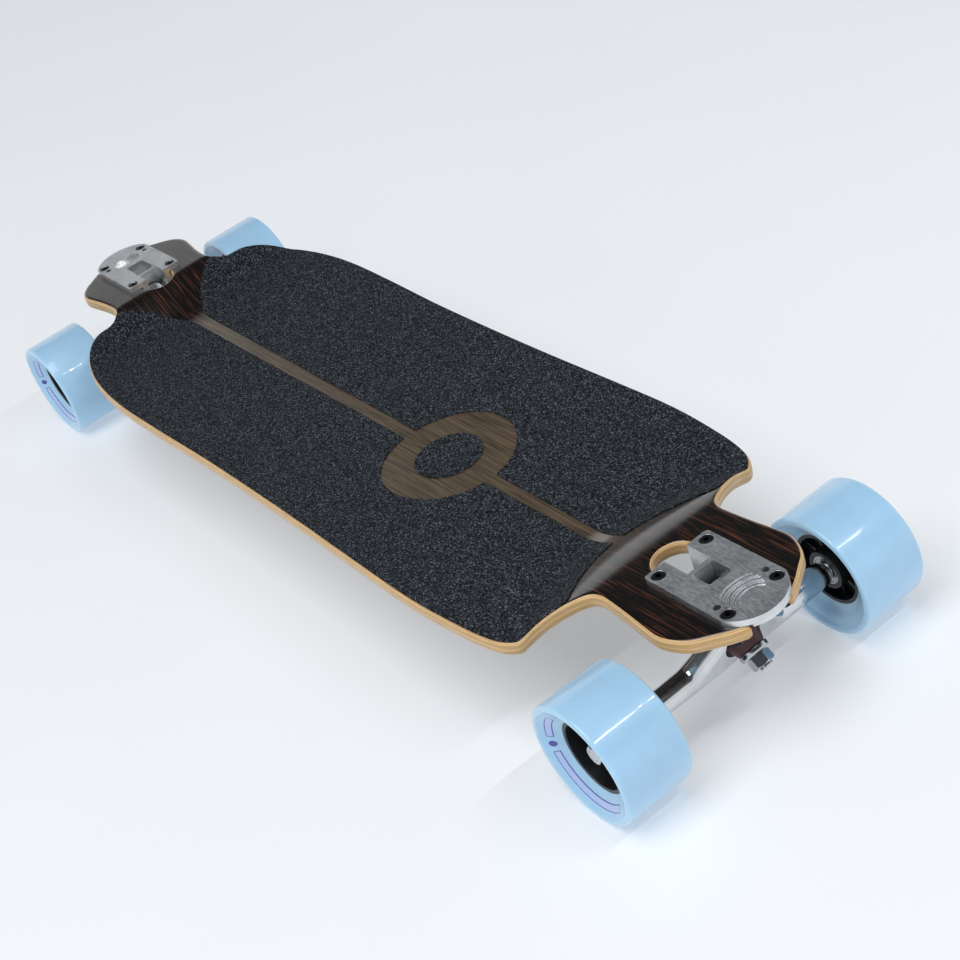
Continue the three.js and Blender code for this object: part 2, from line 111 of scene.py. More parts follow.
def truck_frame(end):
    """x outward from the middle of a truck's bolts, z up from the ground."""
    bolts = middle(*(f"{end}_bolt_{number}" for number in range(1, 5)))
    turn = 0 if bolts.x > 0 else math.pi
    return Matrix.Translation((bolts.x, bolts.y, 0)) @ Matrix.Rotation(turn, 4, "Z")


def kingpin_frame(end):
    """x outward along the steering axis, z up the kingpin, from the middle of the hanger's ring."""
    joint = JOINTS[f"{end}_steer"]
    x = Vector(joint["axis"]).normalized()
    y = Vector((0, math.copysign(1, x.x), 0))
    turned_to = Matrix((x, y, x.cross(y))).transposed().to_4x4()
    return Matrix.Translation(joint["pos_m"]) @ turned_to


def steering_frame(end):
    """z outward along the steering axis."""
    return kingpin_frame(end) @ Matrix.Rotation(math.pi / 2, 4, "Y")


def axle_frame(end, hand="left"):
    """z along the axle towards that hand, from the axle's middle."""
    return Matrix.Translation(middle(f"{end}_axle")) @ Matrix.Rotation(
        -math.pi / 2 if hand == "left" else math.pi / 2, 4, "X"
    )


def wheel_frame(end, hand):
    """z outward along the axle, from the wheel's middle."""
    centre = middle(f"{end}_{hand}_tyre")
    turn = -math.pi / 2 if hand == "left" else math.pi / 2
    return Matrix.Translation(centre) @ Matrix.Rotation(turn, 4, "X")


# ---- Shapes, drawn in millimetres -------------------------------------------------------------


def filleted(points, closed=True, steps=5):
    """Corners given as (x, y, radius) become arcs, and the others stay."""
    result = []
    last = len(points) - 1
    for i, point in enumerate(points):
        corner = Vector(point[:2])
        radius = point[2] if len(point) > 2 else 0
        if not radius or (not closed and i in (0, last)):
            result.append(corner)
            continue
        before = Vector(points[i - 1][:2]) - corner
        after = Vector(points[(i + 1) % len(points)][:2]) - corner
        half = before.angle(after) / 2
        reach = min(radius / math.tan(half), 0.49 * before.length, 0.49 * after.length)
        towards = (before.normalized() + after.normalized()).normalized()
        centre = corner + towards * reach / math.cos(half)
        start = corner + before.normalized() * reach - centre
        end = corner + after.normalized() * reach - centre
        first = math.atan2(start.y, start.x)
        sweep = (math.atan2(end.y, end.x) - first + math.pi) % (2 * math.pi) - math.pi
        for step in range(steps + 1):
            angle = first + sweep * step / steps
            result.append(centre + start.length * Vector((math.cos(angle), math.sin(angle))))
    return result


def arc(centre, radius, first, last, steps):
    """Points on an arc; the angles are in degrees."""
    angles = np.radians(np.linspace(first, last, steps + 1))
    return [(centre[0] + radius * math.cos(a), centre[1] + radius * math.sin(a)) for a in angles]


def turned(profile, segments=64, closed=False):
    """Turned about z from (radius, z) points; a point on the axis becomes a pole."""
    shape = bmesh.new()
    rings = []
    for radius, z in profile:
        if radius < 1e-6:
            rings.append([shape.verts.new((0, 0, z))])
            continue
        angles = [2 * math.pi * i / segments for i in range(segments)]
        rings.append([shape.verts.new((radius * math.cos(a), radius * math.sin(a), z)) for a in angles])
    pairs = list(zip(rings, rings[1:]))
    if closed:
        pairs.append((rings[-1], rings[0]))
    for low, high in pairs:
        for i in range(segments):
            j = (i + 1) % segments
            corners = [low[i % len(low)], low[j % len(low)], high[j % len(high)], high[i % len(high)]]
            corners = list(dict.fromkeys(corners))
            if len(corners) > 2:
                shape.faces.new(corners)
    bmesh.ops.recalc_face_normals(shape, faces=shape.faces)
    return shape


def prism(points, low, high, upright=False):
    """An outline made solid between two heights, or between two y values if it stands upright."""
    shape = bmesh.new()
    levels = []
    for level in (low, high):
        places = [(x, level, y) if upright else (x, y, level) for x, y in points]
        levels.append([shape.verts.new(place) for place in places])
    for level in levels:
        shape.faces.new(level)
    for i in range(len(points)):
        shape.faces.new((levels[0][i - 1], levels[0][i], levels[1][i], levels[1][i - 1]))
    bmesh.ops.recalc_face_normals(shape, faces=shape.faces)
    return shape


def hexagon(across_flats, low, high):
    """A hexagonal prism about z."""
    radius = across_flats / math.sqrt(3)
    return prism(arc((0, 0), radius, 0, 300, 5), low, high)


def piece(name, shape, place=Matrix()):
    """A mesh object at the origin, with its place in its mesh."""
    bmesh.ops.transform(shape, matrix=place @ Matrix.Scale(MM, 4), verts=shape.verts)
    mesh = bpy.data.meshes.new(name)
    shape.to_mesh(mesh)
    shape.free()
    made = bpy.data.objects.new(name, mesh)
    bpy.context.scene.collection.objects.link(made)
    return made


def settle(made):
    """Turns the piece's modifiers into its mesh."""
    graph = bpy.context.evaluated_depsgraph_get()
    mesh = bpy.data.meshes.new_from_object(made.evaluated_get(graph))
    made.modifiers.clear()
    drawn = made.data
    made.data = mesh
    bpy.data.meshes.remove(drawn)
    return made


def combine(target, tool, operation):
    """Joins, cuts or intersects a piece with another, which is used up."""
    modifier = target.modifiers.new("Combine", "BOOLEAN")
    modifier.operation = operation
    modifier.solver = "MANIFOLD"
    modifier.object = tool
    settle(target)
    bpy.data.objects.remove(tool)
    return target


def soften_edges(made, width, degrees=40, segments=1):
    """Breaks the sharp edges of a machined or cast piece."""
    modifier = made.modifiers.new("Broken edges", "BEVEL")
    modifier.width = width * MM
    modifier.segments = segments
    modifier.limit_method = "ANGLE"
    modifier.angle_limit = math.radians(degrees)
    return settle(made)


def shade(made, degrees=32):
    """Smooth faces that point outwards, with sharp edges where the surface turns hard."""
    shape = bmesh.new()
    shape.from_mesh(made.data)
    bmesh.ops.remove_doubles(shape, verts=shape.verts, dist=1e-6)
    if shape.calc_volume(signed=True) < 0:
        bmesh.ops.reverse_faces(shape, faces=shape.faces)
    limit = math.radians(degrees)
    for face in shape.faces:
        face.smooth = True
    for edge in shape.edges:
        edge.smooth = len(edge.link_faces) == 2 and edge.calc_face_angle(0) < limit
    shape.to_mesh(made.data)
    shape.free()
    return made


def dress(made, finish, body, nodes=()):
    """Gives a piece its material, the body it rides and the nodes it stands for."""
    made.data.materials.clear()
    made.data.materials.append(finish)
    if nodes:
        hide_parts(*nodes)
    if body:
        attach(made, body)
    return made


def chamfered_hex(name, across_flats, low, high, place, hole=0, chamfer=1.0):
    """A hexagon nut or head with its corners turned off at both ends."""
    made = piece(name, hexagon(across_flats, low - 0.5, high + 0.5), place)
    corner = across_flats / math.sqrt(3)
    profile = [
        (0, low), (across_flats / 2 - 0.1, low), (corner + 0.2, low + chamfer),
        (corner + 0.2, high - chamfer), (across_flats / 2 - 0.1, high), (0, high),
    ]
    combine(made, piece("turning", turned(profile, 48), place), "INTERSECT")
    if hole:
        bore = [(0, low - 1), (hole + 0.7, low - 1), (hole + 0.7, low), (hole, low + 0.7),
                (hole, high - 0.7), (hole + 0.7, high), (hole + 0.7, high + 1), (0, high + 1)]
        combine(made, piece("bore", turned(bore, 32), place), "DIFFERENCE")
    return made


# ---- The deck's sheets ------------------------------------------------------------------------


def smooth_line(points, steps):
    """Centripetal curve through the points, with some steps between each pair."""
    known = [np.array(point, float) for point in points]
    known = [2 * known[0] - known[1], *known, 2 * known[-1] - known[-2]]
    result = []
    for a, b, c, d in zip(known, known[1:], known[2:], known[3:]):
        t1 = np.linalg.norm(b - a) ** 0.5
        t2 = t1 + np.linalg.norm(c - b) ** 0.5
        t3 = t2 + np.linalg.norm(d - c) ** 0.5
        for t in np.linspace(t1, t2, steps, endpoint=False):
            ab = a + (b - a) * t / t1
            bc = b + (c - b) * (t - t1) / (t2 - t1)
            cd = c + (d - c) * (t - t2) / (t3 - t2)
            abc = ab + (bc - ab) * t / t2
            bcd = bc + (cd - bc) * (t - t1) / (t3 - t1)
            result.append(abc + (bcd - abc) * (t - t1) / (t2 - t1))
    result.append(known[-2])
    return np.array(result)


def deck_outline():
    """The whole outline with both open slots, anticlockwise."""
    half = smooth_line(HALF_OUTLINE, 4)
    left = [(x, y) for x, y in half[1:-1]]
    nose_slot = [(SLOT_ROUND_AT + 60, -SLOT_HALF)] + arc((SLOT_ROUND_AT, 0), SLOT_HALF, 270, 90, 28)
    nose_slot.append((SLOT_ROUND_AT + 60, SLOT_HALF))
    tip = [(457.3, SLOT_HALF, 2.6)]
    nose = [(x, -y) for x, y in left][-12:] + [(457.3, -SLOT_HALF, 2.6)] + nose_slot + tip
    nose += left[::-1][:12]
    nose = [tuple(point) for point in filleted(nose, closed=False)]
    tail = left[::-1][-12:] + [(-457.3, SLOT_HALF, 2.6)] + [(-x, -y) for x, y in nose_slot]
    tail += [(-457.3, -SLOT_HALF, 2.6)] + [(x, -y) for x, y in left][:12]
    tail = [tuple(point) for point in filleted(tail, closed=False)]
    outline = nose + left[::-1][12:-12] + tail + [(x, -y) for x, y in left][12:-12]
    return np.array(outline)


def along(loop, spacing):
    """The closed loop with points at an even spacing."""
    closed = np.vstack([loop, loop[:1]])
    steps = np.hypot(*np.diff(closed, axis=0).T)
    keep = np.concatenate([[True], steps > 1e-6])
    closed = closed[keep]
    run = np.concatenate([[0], np.cumsum(np.hypot(*np.diff(closed, axis=0).T))])
    count = int(run[-1] / spacing)
    at = np.linspace(0, run[-1], count, endpoint=False)
    return np.column_stack([np.interp(at, run, closed[:, 0]), np.interp(at, run, closed[:, 1])])


def distance_to(points, loop):
    """Distance of each point from the closed loop."""
    start = loop
    step = np.roll(loop, -1, axis=0) - loop
    square = (step**2).sum(1)
    nearest = np.full(len(points), np.inf)
    for first in range(0, len(points), 400):
        block = points[first:first + 400, None]
        t = np.clip(((block - start) * step).sum(2) / square, 0, 1)
        gap = block - start - t[..., None] * step
        nearest[first:first + 400] = np.sqrt((gap**2).sum(2)).min(1)
    return nearest


def inside(points, loop):
    """Whether each point lies inside the closed loop."""
    x, y = points[:, 0, None], points[:, 1, None]
    following = np.roll(loop, -1, axis=0)
    crosses = (loop[:, 1] > y) != (following[:, 1] > y)
    with np.errstate(divide="ignore", invalid="ignore"):
        at = loop[:, 0] + (y - loop[:, 1]) * (following[:, 0] - loop[:, 0]) / (following[:, 1] - loop[:, 1])
    return (crosses & (x < at)).sum(1) % 2 == 1


def moved_in(loop, distance):
    """The anticlockwise loop moved inwards."""
    before, after = np.roll(loop, 1, axis=0), np.roll(loop, -1, axis=0)
    direction = after - before
    direction /= np.hypot(*direction.T)[:, None]
    return loop + distance * np.column_stack([-direction[:, 1], direction[:, 0]])


def top_height(x, y):
    """Height of the deck's top face, in millimetres."""
    side = np.abs(y) / 100
    shoulder = np.clip((side - 0.55) / 0.5, 0, 1)
    shoulder = shoulder**2 * (3 - 2 * shoulder)
    tail_from = (318 + 28 * side**2) * (1 - shoulder) + 300 * shoulder
    climb_from = np.where(x > 0, 272 + 50 * side**2, tail_from)
    climb_to = np.where(x > 0, 352, 360)
    t = np.clip((np.abs(x) - climb_from) / np.maximum(climb_to - climb_from, 0.1), 0, 1)
    climb = t * t * (3 - 2 * t)
    platform = CENTRE_TOP + (EDGE_TOP - CENTRE_TOP) * (np.abs(y) / RIM_AT) ** 2.2
    return platform + (END_TOP - platform) * climb


def rounding(distance, radius):
    """How far a rounded edge falls below the face, by the distance from the rim."""
    back = np.clip(radius - distance, 0, radius)
    return radius - np.sqrt(radius**2 - back**2)


def sheet_solid(name, loop, holes, rim, top, bottom, rings, spacing, levels=(), depth_name=None):
    """A closed sheet over a plan loop. `top` and `bottom` give the depth under the deck's top face by
    the distance from the rim, and `levels` are depths of extra rings round the side."""
    interior = []
    low, high = loop.min(0), loop.max(0)
    grid = np.meshgrid(np.arange(low[0], high[0], spacing), np.arange(low[1], high[1], spacing))
    grid = np.column_stack([axis.ravel() for axis in grid])
    clear = inside(grid, loop)
    grid = grid[clear]
    nearest = distance_to(grid, loop)
    reach = max(rings, default=0) + 0.45 * spacing
    interior.append(grid[nearest > reach])
    for ring in rings:
        moved = moved_in(loop, ring)
        real = inside(moved, loop) & (distance_to(moved, loop) > ring * 0.93)
        interior.append(moved[real])
    points = [loop, *holes, *interior]
    edges = []
    first = 0
    for closed in (loop, *holes):
        count = len(closed)
        edges += [(first + i, first + (i + 1) % count) for i in range(count)]
        first += count
    plan = np.vstack(points)
    for hole in holes:
        centre = hole.mean(0)
        radius = np.hypot(*(hole[0] - centre)) + 1.2
        near = np.hypot(*(plan - centre).T) < radius
        near[:first] = False
        plan = plan[~near]
    made = delaunay_2d_cdt([Vector(p) for p in plan.tolist()], edges, [], 1, 1e-5)
    flat = np.array([tuple(v) for v in made[0]])
    triangles = np.array([face for face in made[2] if len(face) == 3])
    middles = flat[triangles].mean(1)
    keep = inside(middles, loop)
    for hole in holes:
        keep &= ~inside(middles, hole)
    triangles = triangles[keep]
    away = distance_to(flat, rim)
    base = top_height(flat[:, 0], flat[:, 1])
    count = len(flat)
    depths = [np.broadcast_to(face(away), count).copy() for face in (top, bottom)]
    seam = np.abs(depths[0] - depths[1]) < 0.02
    depths[1][seam] = depths[0][seam]
    shape = bmesh.new()
    depth_layer = shape.verts.layers.float.new(depth_name) if depth_name else None
    corners = []
    for depth in depths:
        for (x, y), z, d in zip(flat, base, depth):
            vert = shape.verts.new((x, y, z - d))
            if depth_layer:
                vert[depth_layer] = d * MM
            corners.append(vert)
    for a, b, c in triangles:
        shape.faces.new((corners[a], corners[b], corners[c]))
        shape.faces.new((corners[count + a], corners[count + c], corners[count + b]))
    sides = [edge for edge in shape.edges if len(edge.link_faces) == 1]
    index = {vert: i for i, vert in enumerate(corners)}
    ladder = {}

    def rungs(i):
        if i in ladder:
            return ladder[i]
        x, y = flat[i]
        made_rungs = [corners[i]]
        for level in levels:
            vert = shape.verts.new((x, y, base[i] - level))
            if depth_layer:
                vert[depth_layer] = level * MM
            made_rungs.append(vert)
        made_rungs.append(corners[count + i])
        ladder[i] = made_rungs
        return made_rungs

    for edge in sides:
        i, j = (index[vert] for vert in edge.verts)
        if i >= count or j >= count or (seam[i] and seam[j]):
            continue
        one, other = rungs(i), rungs(j)
        for a, b, c, d in zip(one, other, other[1:], one[1:]):
            try:
                shape.faces.new((a, b, c, d))
            except ValueError:
                continue
    bmesh.ops.remove_doubles(shape, verts=shape.verts, dist=1e-3)
    bmesh.ops.recalc_face_normals(shape, faces=shape.faces)
    return piece(name, shape)


# ---- Finishes ---------------------------------------------------------------------------------


def new_finish(name):
    """An empty node material with its surface and output nodes."""
    material = bpy.data.materials.new(name)
    material.use_nodes = True
    nodes = material.node_tree.nodes
    nodes.clear()
    surface = nodes.new("ShaderNodeBsdfPrincipled")
    output = nodes.new("ShaderNodeOutputMaterial")
    output.label = f"{name} surface"
    material.node_tree.links.new(surface.outputs["BSDF"], output.inputs["Surface"])
    return material, surface, output


def lay_out(material, groups):
    """Frames the nodes by what they do, and spreads them out."""
    nodes = material.node_tree.nodes
    for row, (label, members) in enumerate(groups.items()):
        box = nodes.new("NodeFrame")
        box.label = label
        for column, node in enumerate(members):
            node.parent = box
            node.location = (230 * column, -420 * row)


def veneer_finish(look):
    """Lacquered dark wood, golden in the middle of the board and nearly black at its ends."""
    material, surface, output = new_finish("lacquered_veneer")
    nodes, links = material.node_tree.nodes, material.node_tree.links
    place = nodes.new("ShaderNodeTexCoord")
    place.label = "Place on the board"
    stretch = nodes.new("ShaderNodeMapping")
    stretch.label = "Grain runs along the board"
    stretch.inputs["Scale"].default_value = (9, 240, 9)
    streaks = nodes.new("ShaderNodeTexNoise")
    streaks.label = "Broad streaks"
    streaks.inputs["Scale"].default_value = 2.2
    streaks.inputs["Detail"].default_value = 7
    streaks.inputs["Roughness"].default_value = 0.62
    streaks.inputs["Distortion"].default_value = 0.35
    fine_stretch = nodes.new("ShaderNodeMapping")
    fine_stretch.label = "Fine grain runs along too"
    fine_stretch.inputs["Scale"].default_value = (28, 1100, 28)
    pores = nodes.new("ShaderNodeTexNoise")
    pores.label = "Pores"
    pores.inputs["Scale"].default_value = 1
    pores.inputs["Detail"].default_value = 3
    tangle = nodes.new("ShaderNodeMix")
    tangle.label = "Streaks and pores together"
    tangle.data_type = "FLOAT"
    tangle.inputs["Factor"].default_value = 0.38
    gold = nodes.new("ShaderNodeValToRGB")
    gold.label = "Wood in the middle"
    gold.color_ramp.elements[0].position = 0.38
    gold.color_ramp.elements[0].color = look.grain_colour
    gold.color_ramp.elements[1].position = 0.60
    gold.color_ramp.elements[1].color = look.gold_colour
    dark = nodes.new("ShaderNodeValToRGB")
    dark.label = "Wood at the ends"
    dark.color_ramp.elements[0].position = 0.52
    dark.color_ramp.elements[0].color = look.end_colour
    dark.color_ramp.elements[1].position = 0.69
    dark.color_ramp.elements[1].color = look.streak_colour
    parts = nodes.new("ShaderNodeSeparateXYZ")
    parts.label = "Distance along the board"
    forward = nodes.new("ShaderNodeMath")
    forward.label = "Burst sits a little forward"
    forward.operation = "SUBTRACT"
    forward.inputs[1].default_value = 0.010
    either_end = nodes.new("ShaderNodeMath")
    either_end.label = "Either end alike"
    either_end.operation = "ABSOLUTE"
    burst = nodes.new("ShaderNodeMapRange")
    burst.label = "Burst towards the ends"
    burst.interpolation_type = "SMOOTHSTEP"
    burst.inputs["From Min"].default_value = 0.290
    burst.inputs["From Max"].default_value = 0.320
    colour = nodes.new("ShaderNodeMix")
    colour.label = "Burst colour"
    colour.data_type = "RGBA"
    relief = nodes.new("ShaderNodeBump")
    relief.label = "Open grain under the lacquer"
    relief.inputs["Strength"].default_value = 0.10
    relief.inputs["Distance"].default_value = 0.0002
    surface.label = "Satin lacquer"
    surface.inputs["Roughness"].default_value = look.lacquer_roughness
    surface.inputs["Coat Weight"].default_value = 0.4
    surface.inputs["Coat Roughness"].default_value = 0.14
    links.new(place.outputs["Object"], stretch.inputs["Vector"])
    links.new(place.outputs["Object"], fine_stretch.inputs["Vector"])
    links.new(place.outputs["Object"], parts.inputs["Vector"])
    links.new(stretch.outputs["Vector"], streaks.inputs["Vector"])
    links.new(fine_stretch.outputs["Vector"], pores.inputs["Vector"])
    links.new(streaks.outputs["Fac"], tangle.inputs["A"])
    links.new(pores.outputs["Fac"], tangle.inputs["B"])
    links.new(tangle.outputs["Result"], gold.inputs["Fac"])
    links.new(tangle.outputs["Result"], dark.inputs["Fac"])
    links.new(parts.outputs["X"], forward.inputs[0])
    links.new(forward.outputs["Value"], either_end.inputs[0])
    links.new(either_end.outputs["Value"], burst.inputs["Value"])
    links.new(burst.outputs["Result"], colour.inputs["Factor"])
    links.new(gold.outputs["Color"], colour.inputs["A"])
    links.new(dark.outputs["Color"], colour.inputs["B"])
    links.new(colour.outputs["Result"], surface.inputs["Base Color"])
    links.new(tangle.outputs["Result"], relief.inputs["Height"])
    links.new(relief.outputs["Normal"], surface.inputs["Normal"])
    lay_out(material, {
        "Grain": [place, stretch, streaks, fine_stretch, pores, tangle],
        "Burst": [parts, forward, either_end, burst, gold, dark, colour],
        "Lacquer": [relief, surface, output],
    })
    return material


def plies_finish(look):
    """The pressed plies seen on the deck's edge, one after another down its thickness."""
    material, surface, output = new_finish("ply_edge")
    nodes, links = material.node_tree.nodes, material.node_tree.links
    depth = nodes.new("ShaderNodeAttribute")
    depth.label = "Depth under the top face"
    depth.attribute_name = "ply_depth"
    count = nodes.new("ShaderNodeMath")
    count.label = "Depth in plies"
    count.operation = "DIVIDE"
    count.inputs[1].default_value = look.ply
    whole = nodes.new("ShaderNodeMath")
    whole.label = "Which ply"
    whole.operation = "FLOOR"
    part = nodes.new("ShaderNodeMath")
    part.label = "Place in the ply"
    part.operation = "FRACT"
    chance = nodes.new("ShaderNodeTexWhiteNoise")
    chance.label = "Tone of each ply"
    chance.noise_dimensions = "1D"
    line = nodes.new("ShaderNodeMapRange")
    line.label = "Glue line"
    line.inputs["From Min"].default_value = 0.86
    line.inputs["From Max"].default_value = 0.94
    tone = nodes.new("ShaderNodeMix")
    tone.label = "Ply colour"
    tone.data_type = "RGBA"
    tone.inputs["A"].default_value = look.ply_colour
    tone.inputs["B"].default_value = look.cross_ply_colour
    glued = nodes.new("ShaderNodeMix")
    glued.label = "Glue between plies"
    glued.data_type = "RGBA"
    glued.inputs["B"].default_value = look.glue_colour
    place = nodes.new("ShaderNodeTexCoord")
    place.label = "Place on the board"
    stretch = nodes.new("ShaderNodeMapping")
    stretch.label = "Fibres lie flat"
    stretch.inputs["Scale"].default_value = (60, 60, 1600)
    fibres = nodes.new("ShaderNodeTexNoise")
    fibres.label = "Sanded fibres"
    fibres.inputs["Scale"].default_value = 1
    fibres.inputs["Detail"].default_value = 5
    shift = nodes.new("ShaderNodeMapRange")
    shift.label = "How much the fibres show"
    shift.inputs["From Min"].default_value = 0.3
    shift.inputs["From Max"].default_value = 0.7
    shift.inputs["To Min"].default_value = 0.80
    shift.inputs["To Max"].default_value = 1.12
    stained = nodes.new("ShaderNodeVectorMath")
    stained.label = "Wood with its fibres"
    stained.operation = "SCALE"
    relief = nodes.new("ShaderNodeBump")
    relief.label = "Fibre relief"
    relief.inputs["Strength"].default_value = 0.15
    relief.inputs["Distance"].default_value = 0.0002
    surface.label = "Sealed edge"
    surface.inputs["Roughness"].default_value = 0.42
    surface.inputs["Coat Weight"].default_value = 0.2
    surface.inputs["Coat Roughness"].default_value = 0.25
    links.new(depth.outputs["Fac"], count.inputs[0])
    links.new(count.outputs["Value"], whole.inputs[0])
    links.new(count.outputs["Value"], part.inputs[0])
    links.new(whole.outputs["Value"], chance.inputs["W"])
    links.new(part.outputs["Value"], line.inputs["Value"])
    links.new(chance.outputs["Value"], tone.inputs["Factor"])
    links.new(tone.outputs["Result"], glued.inputs["A"])
    links.new(line.outputs["Result"], glued.inputs["Factor"])
    links.new(place.outputs["Object"], stretch.inputs["Vector"])
    links.new(stretch.outputs["Vector"], fibres.inputs["Vector"])
    links.new(fibres.outputs["Fac"], shift.inputs["Value"])
    links.new(glued.outputs["Result"], stained.inputs[0])
    links.new(shift.outputs["Result"], stained.inputs["Scale"])
    links.new(stained.outputs["Vector"], surface.inputs["Base Color"])
    links.new(fibres.outputs["Fac"], relief.inputs["Height"])
    links.new(relief.outputs["Normal"], surface.inputs["Normal"])
    lay_out(material, {
        "Plies": [depth, count, whole, part, chance, line, tone, glued],
        "Fibres": [place, stretch, fibres, shift, stained],
        "Edge": [relief, surface, output],
    })
    return material


def grip_finish(look):
    """Coarse black grit, with painted glints on a few grains."""
    material, surface, output = new_finish("abrasive_grip")
    nodes, links = material.node_tree.nodes, material.node_tree.links
    place = nodes.new("ShaderNodeTexCoord")
    place.label = "Place on the board"
    grains = nodes.new("ShaderNodeTexVoronoi")
    grains.label = "Grains"
    grains.inputs["Scale"].default_value = 1 / look.grit
    clumps = nodes.new("ShaderNodeTexNoise")
    clumps.label = "Thick and thin grit"
    clumps.inputs["Scale"].default_value = 560
    clumps.inputs["Detail"].default_value = 3
    clumps.inputs["Roughness"].default_value = 0.75
    tone = nodes.new("ShaderNodeValToRGB")
    tone.label = "Black to grey grit"
    tone.color_ramp.elements[0].position = 0.45
    tone.color_ramp.elements[0].color = look.grit_dark
    tone.color_ramp.elements[1].position = 0.62
    tone.color_ramp.elements[1].color = look.grit_light
    parts = nodes.new("ShaderNodeSeparateColor")
    parts.label = "One number for each grain"
    # Painted glints: a few random grains get a bright base colour for facets that catch the light
    bright = nodes.new("ShaderNodeMapRange")
    bright.label = "Few grains face the light"
    bright.inputs["From Min"].default_value = 0.84
    bright.inputs["From Max"].default_value = 0.97
    painted_glint = nodes.new("ShaderNodeMix")
    painted_glint.label = "Painted glints"
    painted_glint.data_type = "RGBA"
    painted_glint.inputs["B"].default_value = look.painted_glint_colour
    height = nodes.new("ShaderNodeMath")
    height.label = "Grains stand up"
    height.operation = "SUBTRACT"
    relief = nodes.new("ShaderNodeBump")
    relief.label = "Grit relief"
    relief.inputs["Strength"].default_value = 0.75
    relief.inputs["Distance"].default_value = 0.0005
    surface.label = "Abrasive sheet"
    surface.inputs["Roughness"].default_value = 0.85
    surface.inputs["Specular IOR Level"].default_value = 0.16
    links.new(place.outputs["Object"], grains.inputs["Vector"])
    links.new(place.outputs["Object"], clumps.inputs["Vector"])
    links.new(clumps.outputs["Fac"], tone.inputs["Fac"])
    links.new(grains.outputs["Color"], parts.inputs["Color"])
    links.new(parts.outputs["Red"], bright.inputs["Value"])
    links.new(tone.outputs["Color"], painted_glint.inputs["A"])
    links.new(bright.outputs["Result"], painted_glint.inputs["Factor"])
    links.new(painted_glint.outputs["Result"], surface.inputs["Base Color"])
    links.new(clumps.outputs["Fac"], height.inputs[0])
    links.new(grains.outputs["Distance"], height.inputs[1])
    links.new(height.outputs["Value"], relief.inputs["Height"])
    links.new(relief.outputs["Normal"], surface.inputs["Normal"])
    lay_out(material, {
        "Grit": [place, grains, clumps, tone],
        "Facets": [parts, bright, painted_glint],
        "Sheet": [height, relief, surface, output],
    })
    return material


def metal_finish(
    name, colour, roughness, grain, relief_depth, stretch=(1, 1, 1), painted_shade_below=-1
):
    """Bare or plated metal: a fine grain varies its gloss and height. Below a height the colour is darkened
    as painted shade.
    """
    material, surface, output = new_finish(name)
    nodes, links = material.node_tree.nodes, material.node_tree.links
    place = nodes.new("ShaderNodeTexCoord")
    place.label = "Place on the board"
    direction = nodes.new("ShaderNodeMapping")
    direction.label = "Direction of the finishing marks"
    direction.inputs["Scale"].default_value = stretch
    marks = nodes.new("ShaderNodeTexNoise")
    marks.label = "Finishing marks"
    marks.inputs["Scale"].default_value = grain
    marks.inputs["Detail"].default_value = 6
    marks.inputs["Roughness"].default_value = 0.65
    gloss = nodes.new("ShaderNodeMapRange")
    gloss.label = "Uneven gloss"
    gloss.inputs["From Min"].default_value = 0.3
    gloss.inputs["From Max"].default_value = 0.7
    gloss.inputs["To Min"].default_value = roughness * 0.75
    gloss.inputs["To Max"].default_value = roughness * 1.3
    smudges = nodes.new("ShaderNodeTexNoise")
    smudges.label = "Handling smudges"
    smudges.inputs["Scale"].default_value = 45
    smudges.inputs["Detail"].default_value = 3
    tone = nodes.new("ShaderNodeValToRGB")
    tone.label = "Bare and smudged metal"
    tone.color_ramp.elements[0].position = 0.35
    tone.color_ramp.elements[0].color = [channel * 0.82 for channel in colour[:3]] + [1]
    tone.color_ramp.elements[1].position = 0.60
    tone.color_ramp.elements[1].color = colour
    relief = nodes.new("ShaderNodeBump")
    relief.label = "Mark relief"
    relief.inputs["Strength"].default_value = 0.25
    relief.inputs["Distance"].default_value = relief_depth
    parts = nodes.new("ShaderNodeSeparateXYZ")
    parts.label = "Height on the board"
    # Painted shade: below the given height the colour falls to a quarter, for the shade under the deck and in
    # the pocket
    skin = nodes.new("ShaderNodeMapRange")
    skin.label = "Painted shade, lower down"
    skin.inputs["From Min"].default_value = painted_shade_below + 0.009
    skin.inputs["From Max"].default_value = painted_shade_below
    skin.inputs["To Max"].default_value = 0.8
    painted_shade_mix = nodes.new("ShaderNodeMix")
    painted_shade_mix.label = "Painted shade mixed in"
    painted_shade_mix.data_type = "RGBA"
    painted_shade_mix.inputs["B"].default_value = [channel * 0.25 for channel in colour[:3]] + [1]
    surface.label = "Metal"
    surface.inputs["Metallic"].default_value = 1
    links.new(place.outputs["Object"], direction.inputs["Vector"])
    links.new(place.outputs["Object"], smudges.inputs["Vector"])
    links.new(direction.outputs["Vector"], marks.inputs["Vector"])
    links.new(marks.outputs["Fac"], gloss.inputs["Value"])
    links.new(gloss.outputs["Result"], surface.inputs["Roughness"])
    links.new(smudges.outputs["Fac"], tone.inputs["Fac"])
    links.new(place.outputs["Object"], parts.inputs["Vector"])
    links.new(parts.outputs["Z"], skin.inputs["Value"])
    links.new(skin.outputs["Result"], painted_shade_mix.inputs["Factor"])
    links.new(tone.outputs["Color"], painted_shade_mix.inputs["A"])
    links.new(painted_shade_mix.outputs["Result"], surface.inputs["Base Color"])
    links.new(marks.outputs["Fac"], relief.inputs["Height"])
    links.new(relief.outputs["Normal"], surface.inputs["Normal"])
    lay_out(material, {
        "Finishing marks": [place, direction, marks, gloss],
        "Smudges and painted shade": [smudges, tone, parts, skin, painted_shade_mix],
        "Metal": [relief, surface, output],
    })
    return material


